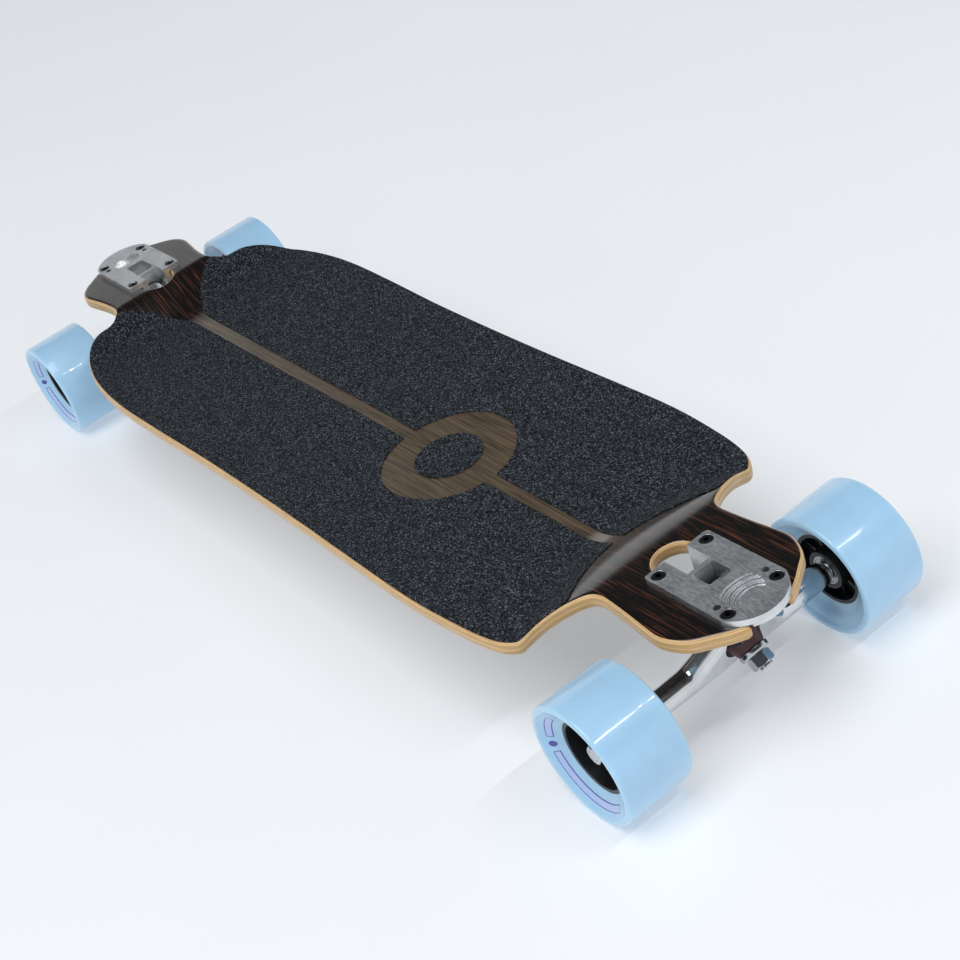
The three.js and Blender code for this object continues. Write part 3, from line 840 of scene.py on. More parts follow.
def moulded_finish(name, colour, roughness, grain, soft=0.0):
    """Moulded rubber, urethane or plastic, with a little unevenness."""
    material, surface, output = new_finish(name)
    nodes, links = material.node_tree.nodes, material.node_tree.links
    place = nodes.new("ShaderNodeTexCoord")
    place.label = "Place on the board"
    texture = nodes.new("ShaderNodeTexNoise")
    texture.label = "Moulded texture"
    texture.inputs["Scale"].default_value = grain
    texture.inputs["Detail"].default_value = 4
    cloud = nodes.new("ShaderNodeTexNoise")
    cloud.label = "Uneven colour"
    cloud.inputs["Scale"].default_value = 70
    cloud.inputs["Detail"].default_value = 2
    tone = nodes.new("ShaderNodeValToRGB")
    tone.label = "Darker and lighter"
    tone.color_ramp.elements[0].position = 0.3
    tone.color_ramp.elements[0].color = [channel * 0.78 for channel in colour[:3]] + [1]
    tone.color_ramp.elements[1].position = 0.7
    tone.color_ramp.elements[1].color = colour
    relief = nodes.new("ShaderNodeBump")
    relief.label = "Moulded relief"
    relief.inputs["Strength"].default_value = 0.2
    relief.inputs["Distance"].default_value = 0.0001
    surface.label = name
    surface.inputs["Roughness"].default_value = roughness
    surface.inputs["Subsurface Weight"].default_value = soft
    surface.inputs["Subsurface Scale"].default_value = 0.004
    links.new(place.outputs["Object"], texture.inputs["Vector"])
    links.new(place.outputs["Object"], cloud.inputs["Vector"])
    links.new(cloud.outputs["Fac"], tone.inputs["Fac"])
    links.new(tone.outputs["Color"], surface.inputs["Base Color"])
    links.new(texture.outputs["Fac"], relief.inputs["Height"])
    links.new(relief.outputs["Normal"], surface.inputs["Normal"])
    lay_out(material, {
        "Colour": [place, cloud, tone],
        "Texture": [texture, relief],
        "Surface": [surface, output],
    })
    return material


def urethane_finish(look):
    """Cast urethane with a plain printed band and dot on the outer face of each wheel."""
    material, surface, output = new_finish("wheel_urethane")
    nodes, links = material.node_tree.nodes, material.node_tree.links
    face = nodes.new("ShaderNodeUVMap")
    face.label = "Place on the wheel's face"
    face.uv_map = "face"
    flat = nodes.new("ShaderNodeSeparateXYZ")
    flat.label = "Across and up the face"
    angle = nodes.new("ShaderNodeMath")
    angle.label = "Angle round the axle"
    angle.operation = "ARCTAN2"
    radius = nodes.new("ShaderNodeVectorMath")
    radius.label = "Distance from the axle"
    radius.operation = "LENGTH"
    outer = nodes.new("ShaderNodeAttribute")
    outer.label = "Outer face only"
    outer.attribute_name = "outer_face"
    outline = 0.0005
    long_middle, long_reach = math.radians(-105), 58
    short_middle, short_reach = math.radians(158), 19
    band = nodes.new("ShaderNodeMath")
    band.label = "Width of the printed band"
    band.operation = "COMPARE"
    band.inputs[1].default_value = look.print_radius
    band.inputs[2].default_value = look.print_width / 2
    hollow = nodes.new("ShaderNodeMath")
    hollow.label = "Inside of the band"
    hollow.operation = "COMPARE"
    hollow.inputs[1].default_value = look.print_radius
    hollow.inputs[2].default_value = look.print_width / 2 - outline
    long_arc = nodes.new("ShaderNodeMath")
    long_arc.label = "Long arc"
    long_arc.operation = "COMPARE"
    long_arc.inputs[1].default_value = long_middle
    long_arc.inputs[2].default_value = math.radians(long_reach)
    long_hollow = nodes.new("ShaderNodeMath")
    long_hollow.label = "Inside of the long arc"
    long_hollow.operation = "COMPARE"
    long_hollow.inputs[1].default_value = long_middle
    long_hollow.inputs[2].default_value = math.radians(long_reach - 1)
    short_arc = nodes.new("ShaderNodeMath")
    short_arc.label = "Short arc"
    short_arc.operation = "COMPARE"
    short_arc.inputs[1].default_value = short_middle
    short_arc.inputs[2].default_value = math.radians(short_reach)
    short_hollow = nodes.new("ShaderNodeMath")
    short_hollow.label = "Inside of the short arc"
    short_hollow.operation = "COMPARE"
    short_hollow.inputs[1].default_value = short_middle
    short_hollow.inputs[2].default_value = math.radians(short_reach - 1)
    arcs = nodes.new("ShaderNodeMath")
    arcs.label = "Both arcs"
    arcs.operation = "MAXIMUM"
    hollows = nodes.new("ShaderNodeMath")
    hollows.label = "Inside of both arcs"
    hollows.operation = "MAXIMUM"
    shape = nodes.new("ShaderNodeMath")
    shape.label = "Printed shape"
    shape.operation = "MULTIPLY"
    filling = nodes.new("ShaderNodeMath")
    filling.label = "Paler filling"
    filling.operation = "MULTIPLY"
    to_dot = nodes.new("ShaderNodeVectorMath")
    to_dot.label = "Distance from the dot"
    to_dot.operation = "DISTANCE"
    dot_angle = math.radians(187)
    to_dot.inputs[1].default_value = (
        look.print_radius * math.cos(dot_angle), look.print_radius * math.sin(dot_angle), 0,
    )
    dot = nodes.new("ShaderNodeMath")
    dot.label = "Dot"
    dot.operation = "LESS_THAN"
    dot.inputs[1].default_value = 0.0024
    printed = nodes.new("ShaderNodeMath")
    printed.label = "All the print"
    printed.operation = "MAXIMUM"
    only_outer = nodes.new("ShaderNodeMath")
    only_outer.label = "Print on the outer face"
    only_outer.operation = "MULTIPLY"
    ink = nodes.new("ShaderNodeMix")
    ink.label = "Ink and its filling"
    ink.data_type = "RGBA"
    ink.inputs["A"].default_value = look.ink_colour
    ink.inputs["B"].default_value = look.filling_colour
    place = nodes.new("ShaderNodeTexCoord")
    place.label = "Place on the board"
    cloud = nodes.new("ShaderNodeTexNoise")
    cloud.label = "Cloudy casting"
    cloud.inputs["Scale"].default_value = 38
    cloud.inputs["Detail"].default_value = 3
    body = nodes.new("ShaderNodeValToRGB")
    body.label = "Urethane colour"
    body.color_ramp.elements[0].position = 0.3
    body.color_ramp.elements[0].color = [channel * 0.93 for channel in look.wheel_colour[:3]] + [1]
    body.color_ramp.elements[1].position = 0.7
    body.color_ramp.elements[1].color = look.wheel_colour
    colour = nodes.new("ShaderNodeMix")
    colour.label = "Printed urethane"
    colour.data_type = "RGBA"
    skin = nodes.new("ShaderNodeTexNoise")
    skin.label = "Turned skin"
    skin.inputs["Scale"].default_value = 900
    skin.inputs["Detail"].default_value = 3
    gloss = nodes.new("ShaderNodeMapRange")
    gloss.label = "Uneven gloss"
    gloss.inputs["To Min"].default_value = 0.28
    gloss.inputs["To Max"].default_value = 0.42
    relief = nodes.new("ShaderNodeBump")
    relief.label = "Skin relief"
    relief.inputs["Strength"].default_value = 0.05
    relief.inputs["Distance"].default_value = 0.0001
    surface.label = "Urethane"
    surface.inputs["Coat Weight"].default_value = 0.6
    surface.inputs["Coat Roughness"].default_value = 0.02
    surface.inputs["Subsurface Weight"].default_value = 0.35
    surface.inputs["Subsurface Radius"].default_value = (0.6, 0.9, 1.0)
    surface.inputs["Subsurface Scale"].default_value = 0.008
    links.new(face.outputs["UV"], flat.inputs["Vector"])
    links.new(flat.outputs["Y"], angle.inputs[0])
    links.new(flat.outputs["X"], angle.inputs[1])
    links.new(face.outputs["UV"], radius.inputs[0])
    links.new(face.outputs["UV"], to_dot.inputs[0])
    for node in (band, hollow):
        links.new(radius.outputs["Value"], node.inputs[0])
    for node in (long_arc, long_hollow, short_arc, short_hollow):
        links.new(angle.outputs["Value"], node.inputs[0])
    links.new(long_arc.outputs["Value"], arcs.inputs[0])
    links.new(short_arc.outputs["Value"], arcs.inputs[1])
    links.new(long_hollow.outputs["Value"], hollows.inputs[0])
    links.new(short_hollow.outputs["Value"], hollows.inputs[1])
    links.new(arcs.outputs["Value"], shape.inputs[0])
    links.new(band.outputs["Value"], shape.inputs[1])
    links.new(hollows.outputs["Value"], filling.inputs[0])
    links.new(hollow.outputs["Value"], filling.inputs[1])
    links.new(to_dot.outputs["Value"], dot.inputs[0])
    links.new(shape.outputs["Value"], printed.inputs[0])
    links.new(dot.outputs["Value"], printed.inputs[1])
    links.new(printed.outputs["Value"], only_outer.inputs[0])
    links.new(outer.outputs["Fac"], only_outer.inputs[1])
    links.new(filling.outputs["Value"], ink.inputs["Factor"])
    links.new(place.outputs["Object"], cloud.inputs["Vector"])
    links.new(place.outputs["Object"], skin.inputs["Vector"])
    links.new(cloud.outputs["Fac"], body.inputs["Fac"])
    links.new(only_outer.outputs["Value"], colour.inputs["Factor"])
    links.new(body.outputs["Color"], colour.inputs["A"])
    links.new(ink.outputs["Result"], colour.inputs["B"])
    links.new(colour.outputs["Result"], surface.inputs["Base Color"])
    links.new(skin.outputs["Fac"], gloss.inputs["Value"])
    links.new(gloss.outputs["Result"], surface.inputs["Roughness"])
    links.new(skin.outputs["Fac"], relief.inputs["Height"])
    links.new(relief.outputs["Normal"], surface.inputs["Normal"])
    lay_out(material, {
        "Face": [face, flat, angle, radius, outer],
        "Arcs": [band, hollow, long_arc, long_hollow, short_arc, short_hollow, arcs, hollows, shape, filling],
        "Dot": [to_dot, dot, printed, only_outer, ink],
        "Urethane": [place, cloud, body, colour, skin, gloss, relief, surface, output],
    })
    return material


def floor_finish(look):
    """A smooth pale floor with a soft sheen."""
    material, surface, output = new_finish("studio_floor")
    nodes, links = material.node_tree.nodes, material.node_tree.links
    place = nodes.new("ShaderNodeTexCoord")
    place.label = "Place in the room"
    cloud = nodes.new("ShaderNodeTexNoise")
    cloud.label = "Faint marks"
    cloud.inputs["Scale"].default_value = 2.5
    cloud.inputs["Detail"].default_value = 3
    tone = nodes.new("ShaderNodeValToRGB")
    tone.label = "Pale floor"
    tone.color_ramp.elements[0].position = 0.35
    tone.color_ramp.elements[0].color = [channel * 0.975 for channel in look.floor_colour[:3]] + [1]
    tone.color_ramp.elements[1].position = 0.65
    tone.color_ramp.elements[1].color = look.floor_colour
    surface.label = "Floor"
    surface.inputs["Roughness"].default_value = 0.30
    surface.inputs["Specular IOR Level"].default_value = 0.30
    surface.inputs["Emission Color"].default_value = look.floor_colour
    surface.inputs["Emission Strength"].default_value = look.floor_glow
    links.new(place.outputs["Object"], cloud.inputs["Vector"])
    links.new(cloud.outputs["Fac"], tone.inputs["Fac"])
    links.new(tone.outputs["Color"], surface.inputs["Base Color"])
    lay_out(material, {"Floor": [place, cloud, tone, surface, output]})
    return material


# ---- Geometry node trees ----------------------------------------------------------------------


def bolt_pattern_tree():
    """Copies of one bolt or nut on the eight corners of both trucks' bolt patterns."""
    tree = bpy.data.node_groups.new("bolt_pattern", "GeometryNodeTree")
    sockets = tree.interface
    sockets.new_socket("Geometry", in_out="INPUT", socket_type="NodeSocketGeometry")
    sockets.new_socket("Fastener", in_out="INPUT", socket_type="NodeSocketObject")
    sockets.new_socket("Spacing along", in_out="INPUT", socket_type="NodeSocketFloat")
    sockets.new_socket("Spacing across", in_out="INPUT", socket_type="NodeSocketFloat")
    sockets.new_socket("Truck distance", in_out="INPUT", socket_type="NodeSocketFloat")
    sockets.new_socket("Finish", in_out="INPUT", socket_type="NodeSocketMaterial")
    sockets.new_socket("Geometry", in_out="OUTPUT", socket_type="NodeSocketGeometry")
    nodes, links = tree.nodes, tree.links
    given = nodes.new("NodeGroupInput")
    given.label = "Sizes and fastener"
    corners = nodes.new("GeometryNodeMeshGrid")
    corners.label = "One truck's four holes"
    corners.inputs["Vertices X"].default_value = 2
    corners.inputs["Vertices Y"].default_value = 2
    fastener = nodes.new("GeometryNodeObjectInfo")
    fastener.label = "Fastener's shape"
    copies = nodes.new("GeometryNodeInstanceOnPoints")
    copies.label = "A fastener in each hole"
    nose_place = nodes.new("ShaderNodeCombineXYZ")
    nose_place.label = "Nose truck's place"
    nose = nodes.new("GeometryNodeTransform")
    nose.label = "Nose truck"
    back = nodes.new("ShaderNodeMath")
    back.label = "Behind the middle"
    back.operation = "MULTIPLY"
    back.inputs[1].default_value = -1
    tail_place = nodes.new("ShaderNodeCombineXYZ")
    tail_place.label = "Tail truck's place"
    tail = nodes.new("GeometryNodeTransform")
    tail.label = "Tail truck"
    both = nodes.new("GeometryNodeJoinGeometry")
    both.label = "Both trucks"
    real = nodes.new("GeometryNodeRealizeInstances")
    real.label = "Real geometry"
    finish = nodes.new("GeometryNodeSetMaterial")
    finish.label = "Fastener's finish"
    result = nodes.new("NodeGroupOutput")
    result.label = "Eight fasteners"
    links.new(given.outputs["Spacing along"], corners.inputs["Size X"])
    links.new(given.outputs["Spacing across"], corners.inputs["Size Y"])
    links.new(given.outputs["Fastener"], fastener.inputs["Object"])
    links.new(corners.outputs["Mesh"], copies.inputs["Points"])
    links.new(fastener.outputs["Geometry"], copies.inputs["Instance"])
    links.new(given.outputs["Truck distance"], nose_place.inputs["X"])
    links.new(given.outputs["Truck distance"], back.inputs[0])
    links.new(back.outputs["Value"], tail_place.inputs["X"])
    links.new(nose_place.outputs["Vector"], nose.inputs["Translation"])
    links.new(tail_place.outputs["Vector"], tail.inputs["Translation"])
    links.new(copies.outputs["Instances"], nose.inputs["Geometry"])
    links.new(copies.outputs["Instances"], tail.inputs["Geometry"])
    links.new(nose.outputs["Geometry"], both.inputs["Geometry"])
    links.new(tail.outputs["Geometry"], both.inputs["Geometry"])
    links.new(both.outputs["Geometry"], real.inputs["Geometry"])
    links.new(real.outputs["Geometry"], finish.inputs["Geometry"])
    links.new(given.outputs["Finish"], finish.inputs["Material"])
    links.new(finish.outputs["Geometry"], result.inputs["Geometry"])
    columns = [given, corners, fastener, copies, nose_place, nose, back, tail_place, tail, both, real, finish]
    for column, node in enumerate([*columns, result]):
        node.location = (200 * column, -160 * (column % 3))
    return tree


def rib_ring_tree():
    """Copies of one rib round an axle, each turned to point outward."""
    tree = bpy.data.node_groups.new("rib_ring", "GeometryNodeTree")
    sockets = tree.interface
    sockets.new_socket("Geometry", in_out="INPUT", socket_type="NodeSocketGeometry")
    sockets.new_socket("Rib", in_out="INPUT", socket_type="NodeSocketObject")
    sockets.new_socket("Count", in_out="INPUT", socket_type="NodeSocketInt")
    sockets.new_socket("Radius", in_out="INPUT", socket_type="NodeSocketFloat")
    sockets.new_socket("Finish", in_out="INPUT", socket_type="NodeSocketMaterial")
    sockets.new_socket("Geometry", in_out="OUTPUT", socket_type="NodeSocketGeometry")
    nodes, links = tree.nodes, tree.links
    given = nodes.new("NodeGroupInput")
    given.label = "Rib, count and radius"
    ring = nodes.new("GeometryNodeMeshCircle")
    ring.label = "Ribs' middles"
    shape = nodes.new("GeometryNodeObjectInfo")
    shape.label = "Rib's shape"
    place = nodes.new("GeometryNodeInputPosition")
    place.label = "Direction from the axle"
    outward = nodes.new("FunctionNodeAlignRotationToVector")
    outward.label = "Rib points outward"
    outward.axis = "X"
    outward.pivot_axis = "Z"
    copies = nodes.new("GeometryNodeInstanceOnPoints")
    copies.label = "Ribs"
    real = nodes.new("GeometryNodeRealizeInstances")
    real.label = "Real geometry"
    finish = nodes.new("GeometryNodeSetMaterial")
    finish.label = "Ribs' finish"
    result = nodes.new("NodeGroupOutput")
    result.label = "Ring of ribs"
    links.new(given.outputs["Count"], ring.inputs["Vertices"])
    links.new(given.outputs["Radius"], ring.inputs["Radius"])
    links.new(given.outputs["Rib"], shape.inputs["Object"])
    links.new(place.outputs["Position"], outward.inputs["Vector"])
    links.new(ring.outputs["Mesh"], copies.inputs["Points"])
    links.new(shape.outputs["Geometry"], copies.inputs["Instance"])
    links.new(outward.outputs["Rotation"], copies.inputs["Rotation"])
    links.new(copies.outputs["Instances"], real.inputs["Geometry"])
    links.new(real.outputs["Geometry"], finish.inputs["Geometry"])
    links.new(given.outputs["Finish"], finish.inputs["Material"])
    links.new(finish.outputs["Geometry"], result.inputs["Geometry"])
    for column, node in enumerate([given, ring, shape, place, outward, copies, real, finish, result]):
        node.location = (200 * column, -160 * (column % 3))
    return tree


def grown(name, tree, values):
    """The plain mesh that a tree makes from the named values."""
    host = piece(name, bmesh.new())
    modifier = host.modifiers.new("Copies", "NODES")
    modifier.node_group = tree
    for socket in tree.interface.items_tree:
        if socket.in_out == "INPUT" and socket.name in values:
            modifier[socket.identifier] = values[socket.name]
    return settle(host)


# ---- Pieces -----------------------------------------------------------------------------------


def circle(centre, radius, count):
    """A round loop, anticlockwise."""
    angles = np.linspace(0, 2 * math.pi, count, endpoint=False)
    return np.column_stack([centre[0] + radius * np.cos(angles), centre[1] + radius * np.sin(angles)])


def bolt_holes():
    """The eight bolt holes in plan."""
    loops = []
    for end in ENDS:
        centre = truck_frame(end).translation / MM
        for x in (-BOLT_SPACING[0] / 2, BOLT_SPACING[0] / 2):
            for y in (-BOLT_SPACING[1] / 2, BOLT_SPACING[1] / 2):
                loops.append(circle((centre.x + x, centre.y + y), 2.85, 14))
    return loops


def bare_edge():
    """The left grip sheet's inner edge from the tail to the nose: notch, stripe, window and bowed end."""
    run = []
    for x in np.linspace(GRIP_TAIL_TIP, NOTCH_START, 40):
        flare = (NOTCH_START - x) / (NOTCH_START - NOTCH_END)
        run.append((x, 6.6 + 48.4 * flare**3))
    stripe = [(x, 6.6 - 1.7 * (x - NOTCH_START) / (GRIP_NOSE - NOTCH_START))
              for x in np.linspace(NOTCH_START, GRIP_NOSE, 240)]
    run += [(x, y) for x, y in stripe if x < WINDOW_X - WINDOW_R]
    run += [(x, y) for x, y in arc((WINDOW_X, 0), WINDOW_R, 173.2, 6.3, 60)]
    run += [(x, y) for x, y in stripe if x > WINDOW_X + WINDOW_R]
    run += [(GRIP_NOSE + 0.007 * y * y, y) for y in np.linspace(5.2, 64.9, 34)]
    return run


def clear_of_veneer(away):
    """Away from the rim the plies lie a little under the veneer, so their facets can't show through."""
    return 0.3 * np.clip((away - 4) / 3, 0, 1)


def build_deck(look):
    """Plies, both veneers, the two grip sheets and the round patch."""
    outline = along(deck_outline(), 2.4)
    radius = look.edge_radius / MM
    veneer = look.veneer / MM
    start = radius - math.sqrt(radius**2 - (radius - veneer) ** 2)
    holes = bolt_holes()
    inner = moved_in(outline, start)
    wood = veneer_finish(look)
    plies = sheet_solid(
        "deck_plies", outline, holes, outline,
        lambda away: np.maximum(rounding(away, radius), veneer) + clear_of_veneer(away),
        lambda away: DECK_THICK - np.maximum(rounding(away, radius), veneer) - clear_of_veneer(away),
        (0.12, 0.4, 0.8, 1.25, start, start + 1.6), 4.5, depth_name="ply_depth",
    )
    dress(shade(plies, 40), plies_finish(look), "board", ["deck_core"])
    veneer_rings = (0.35, 0.9, radius - start, radius - start + 2)
    top = sheet_solid(
        "deck_top_veneer", inner, holes, outline,
        lambda away: rounding(away, radius), lambda away: veneer - 0.01 + 0 * away,
        veneer_rings, 4,
    )
    dress(shade(top, 40), wood, "board", ["top_veneer"])
    under = sheet_solid(
        "deck_bottom_veneer", inner, holes, outline,
        lambda away: DECK_THICK - veneer + 0.01 + 0 * away,
        lambda away: DECK_THICK - rounding(away, radius),
        veneer_rings, 4.5,
    )
    dress(shade(under, 40), wood, "board")
    build_grip(look, outline, radius)


def build_grip(look, outline, radius):
    """The abrasive sheets, cut round the stripe and the window."""
    grit = grip_finish(look)
    edge = moved_in(outline, 1.5)
    left = edge[(edge[:, 0] > GRIP_TAIL_TIP) & (edge[:, 0] < GRIP_NOSE_TIP) & (edge[:, 1] > 0)]
    left = left[np.argsort(-left[:, 0])]
    sheet = along(np.vstack([left, np.array(bare_edge())]), 2.2)
    patch = circle((WINDOW_X, 0), DOT_R, 80)
    loops = {"left": sheet, "right": (sheet * (1, -1))[::-1], "dot": patch}
    for side, loop in loops.items():
        made = sheet_solid(
            f"grip_sheet_{side}", loop, [], outline,
            lambda away: rounding(away, radius) - look.grip / MM,
            lambda away: rounding(away, radius) - 0.04,
            (0.6, 2), 4.2,
        )
        dress(shade(made, 40), grit, "board", [f"grip_{side}"])


def placed_copy(source, name, place):
    """A copy of a piece that was drawn round its own origin, put in its place."""
    mesh = source.data.copy()
    mesh.name = name
    mesh.transform(place)
    made = bpy.data.objects.new(name, mesh)
    bpy.context.scene.collection.objects.link(made)
    return made


KINGPIN = truck_frame("front").inverted() @ kingpin_frame("front")
STEERING = truck_frame("front").inverted() @ steering_frame("front")
SEAT = 21.6                    # deck-side bushing's seat, up the kingpin from the hanger's ring
SEAT_TOP = 27                  # the same wall's other face, under the kingpin's head
PLATE_TOP = 108.1              # height of the baseplates' top face


def up_kingpin(out, up):
    """A point of the kingpin's frame as the truck's (x, z), in millimetres."""
    place = KINGPIN @ Vector((out * MM, 0, up * MM))
    return place.x / MM, place.z / MM


def draw_baseplate():
    """The casting that drops through the deck, drawn in the truck's frame."""
    outline = filleted([
        (-38.2, 27.6, 2.6), (-38.2, -27.6, 2.6), *arc((21.8, 0), 29.6, -68.8, 68.8, 48),
    ])
    plate = piece("baseplate", prism(outline, 103.55, PLATE_TOP))
    skirt = arc((21.8, 0), 29.2, -31.4, 31.4, 24) + [(38, 15.2), (38, -15.2)]
    combine(plate, piece("skirt", prism(skirt, 101.2, 104)), "UNION")
    lug = [(0, -11.8), (31.8, -11.8)] + arc((31.8, 0), 11.8, -90, 90, 20)[1:] + [(0, 11.8)]
    combine(plate, piece("lug", prism(lug, 96.5, 104)), "UNION")
    body = [(-38, 104.2), (10, 104.2), (10, 92.5), up_kingpin(SEAT_TOP - 11, SEAT), up_kingpin(-16, SEAT),
            up_kingpin(-20, SEAT + 3), (-38, 74)]
    combine(plate, piece("body", prism(body, -14.8, 14.8, upright=True)), "UNION")
    tower = [up_kingpin(*p) for p in (
        (-15.5, SEAT_TOP), (-15.5, 11), (-31, 11), (-31, -8), (-43, -8), (-43, 8), (-30, SEAT_TOP))]
    combine(plate, piece("tower", prism(tower, -11, 11, upright=True)), "UNION")
    housing = turned(filleted([(0, -43), (11.5, -43, 1.2), (11.5, -31, 0.8), (0, -31)], closed=False), 56)
    combine(plate, piece("housing", housing, STEERING), "UNION")
    channel = [(-80, 125), (-19, 125), (-19, 90), up_kingpin(4, SEAT_TOP),
               up_kingpin(-32, SEAT_TOP), (-80, 62)]
    combine(plate, piece("channel", prism(channel, -9.6, 9.6, upright=True)), "DIFFERENCE")
    pocket = filleted([(-15.6, -8.8, 0.8), (5.4, -8.8, 4.2), (5.4, 8.8, 3.0), (-15.6, 8.8, 0.8)])
    floor_low = up_kingpin(6.6, SEAT_TOP)[1]
    well = piece("well", prism(pocket, floor_low, 125))
    keep = [(-15.7, 126), (5.5, 126), (5.5, 96), up_kingpin(16.2, SEAT_TOP), (-15.7, floor_low - 1)]
    combine(well, piece("keep", prism(keep, -12, 12, upright=True)), "INTERSECT")
    combine(plate, well, "DIFFERENCE")
    low_wall = [(-20, 105.6), (-14.8, 105.6), (-14.8, 125), (-20, 125)]
    combine(plate, piece("low_wall", prism(low_wall, -9.6, 9.6, upright=True)), "DIFFERENCE")
    for tool in (
        turned([(0, SEAT - 3), (5.1, SEAT - 3), (5.1, SEAT_TOP + 3), (0, SEAT_TOP + 3)], 32),
        turned([(0, SEAT_TOP), (8.9, SEAT_TOP), (8.9, SEAT_TOP + 9), (0, SEAT_TOP + 9)], 40),
    ):
        combine(plate, piece("kingpin_hole", tool, KINGPIN), "DIFFERENCE")
    socket = turned([(0, -40.9), (8.6, -40.9), (8.6, -29), (0, -29)], 48)
    combine(plate, piece("cup_hole", socket, STEERING), "DIFFERENCE")
    soften_edges(plate, 0.7, 38)
    for y in (-BOLT_SPACING[1] / 2, BOLT_SPACING[1] / 2):
        for x in (-BOLT_SPACING[0] / 2, BOLT_SPACING[0] / 2):
            seat = turned([(0, 90), (2.85, 90), (2.85, 104.9), (5.2, 107.6), (5.4, 112), (0, 112)], 40)
            combine(plate, piece("bolt_hole", seat, Matrix.Translation((x * MM, y * MM, 0))), "DIFFERENCE")
        spare = turned([(0, 90), (2.5, 90), (2.5, 112), (0, 112)], 32)
        combine(plate, piece("spare_hole", spare, Matrix.Translation((22.2 * MM, y * MM, 0))), "DIFFERENCE")
    for radius, spread in ((24.5, 34), (21.5, 42), (19.8, 46), (17, 52), (15.2, 56), (12.4, 62)):
        groove = piece("machined_arc", turned([
            (radius - 0.9, 109), (radius - 0.9, PLATE_TOP), (radius, 107.45), (radius + 0.5, PLATE_TOP),
            (radius + 0.5, 109)], 160, closed=True), Matrix.Translation((38 * MM, 0, 0)))
        wedge = [(38, 0)] + arc((38, 0), 40, 180 - spread, 180 + spread, 12)
        combine(groove, piece("wedge", prism(wedge, 100, 112)), "INTERSECT")
        combine(plate, groove, "DIFFERENCE")
    return shade(plate, 30)


def draw_hanger():
    """The hanger: arms turned about the axle, a broad middle, the ring and the pivot nose."""
    axle = truck_frame("front").inverted() @ axle_frame("front")
    centre = axle.translation / MM
    spindle = [(0, -84.9), (7.6, -84.9), (8.3, -84.2), (8.8, -81), (9, -60), (9.5, -26)]
    spindle += [(r, -z) for r, z in reversed(spindle)]
    hanger = piece("hanger", turned(spindle, 72), axle)
    hull = bmesh.new()
    for i in range(64):
        turn = 2 * math.pi * i / 64
        for radius, up in ((14.2, -5.5), (15.2, -3.4), (15.5, 0), (15.2, 3.4), (14.2, 5.5)):
            x, z = up_kingpin(radius * math.cos(turn), up)
            hull.verts.new((x, radius * math.sin(turn), z))
        for y in (-40, 40):
            hull.verts.new((centre.x + 8.9 * math.cos(turn), y, centre.z + 8.9 * math.sin(turn)))
    made = bmesh.ops.convex_hull(hull, input=hull.verts)
    bmesh.ops.delete(hull, geom=list({*made["geom_interior"], *made["geom_unused"]}), context="VERTS")
    nose = [(0, -39), (3.6, -38.4), (5.2, -36.4), (5.2, -30.8), (8, -27.4), (8.6, -16), (0, -16)]
    for tool in (piece("middle", hull), piece("pivot_nose", turned(nose, 48), STEERING)):
        combine(hanger, tool, "UNION")
    remesh = hanger.modifiers.new("Cast skin", "REMESH")
    remesh.mode = "VOXEL"
    remesh.voxel_size = 0.85 * MM
    smooth = hanger.modifiers.new("Polish", "SMOOTH")
    smooth.factor = 0.5
    smooth.iterations = 36
    settle(hanger)
    bore = turned([(0, -20), (8, -20), (8, 20), (0, 20)], 48)
    seat = turned([(0, -40), (14.8, -40), (14.8, -5.5), (0, -5.5)], 64)
    combine(hanger, piece("ring_bore", bore, KINGPIN), "DIFFERENCE")
    combine(hanger, piece("bushing_seat", seat, KINGPIN), "DIFFERENCE")
    return shade(hanger, 34)


def build_trucks(look):
    """Both trucks: castings, kingpins, bushings, pivot cups, axles and their nuts."""
    # The satin casting gets painted shade below 92 mm, under the deck and in the pocket
    cast = metal_finish("satin_casting", look.cast_colour, 0.36, 700, 0.0002, (0.35, 1, 1), 0.092)
    polish = metal_finish("polished_hanger", look.polished_colour, 0.13, 260, 0.00003)
    steel = metal_finish("bright_steel", look.steel_colour, 0.13, 500, 0.00004)
    red = moulded_finish("bushing_urethane", look.bushing_colour, 0.35, 600, 0.25)
    black = moulded_finish("cup_urethane", look.cup_colour, 0.5, 800)
    nylon = moulded_finish("nylon_insert", (0.75, 0.77, 0.8, 1), 0.4, 800, 0.2)
    plate, hanger = draw_baseplate(), draw_hanger()
    for end in ENDS:
        truck = truck_frame(end)
        kingpin, steering = kingpin_frame(end), steering_frame(end)
        dress(placed_copy(plate, f"{end}_base_casting", truck), cast, "board",
              [f"{end}_baseplate"])
        dress(placed_copy(hanger, f"{end}_hanger_casting", truck), polish,
              f"{end}_hanger", [f"{end}_hanger"])
        build_kingpin(end, kingpin, steel, red)
        cup = [(0, -40.6), (8.3, -40.6, 0.6), (8.3, -31.3, 0.5), (5.6, -31.3, 0.4), (5.6, -39.4), (0, -39.4)]
        cup = piece(f"{end}_pivot_bush", turned(filleted(cup, closed=False), 48), steering)
        dress(shade(cup), black, "board", [f"{end}_pivot_cup"])
        build_axle(end, steel, nylon)
    for source in (plate, hanger):
        bpy.data.objects.remove(source)


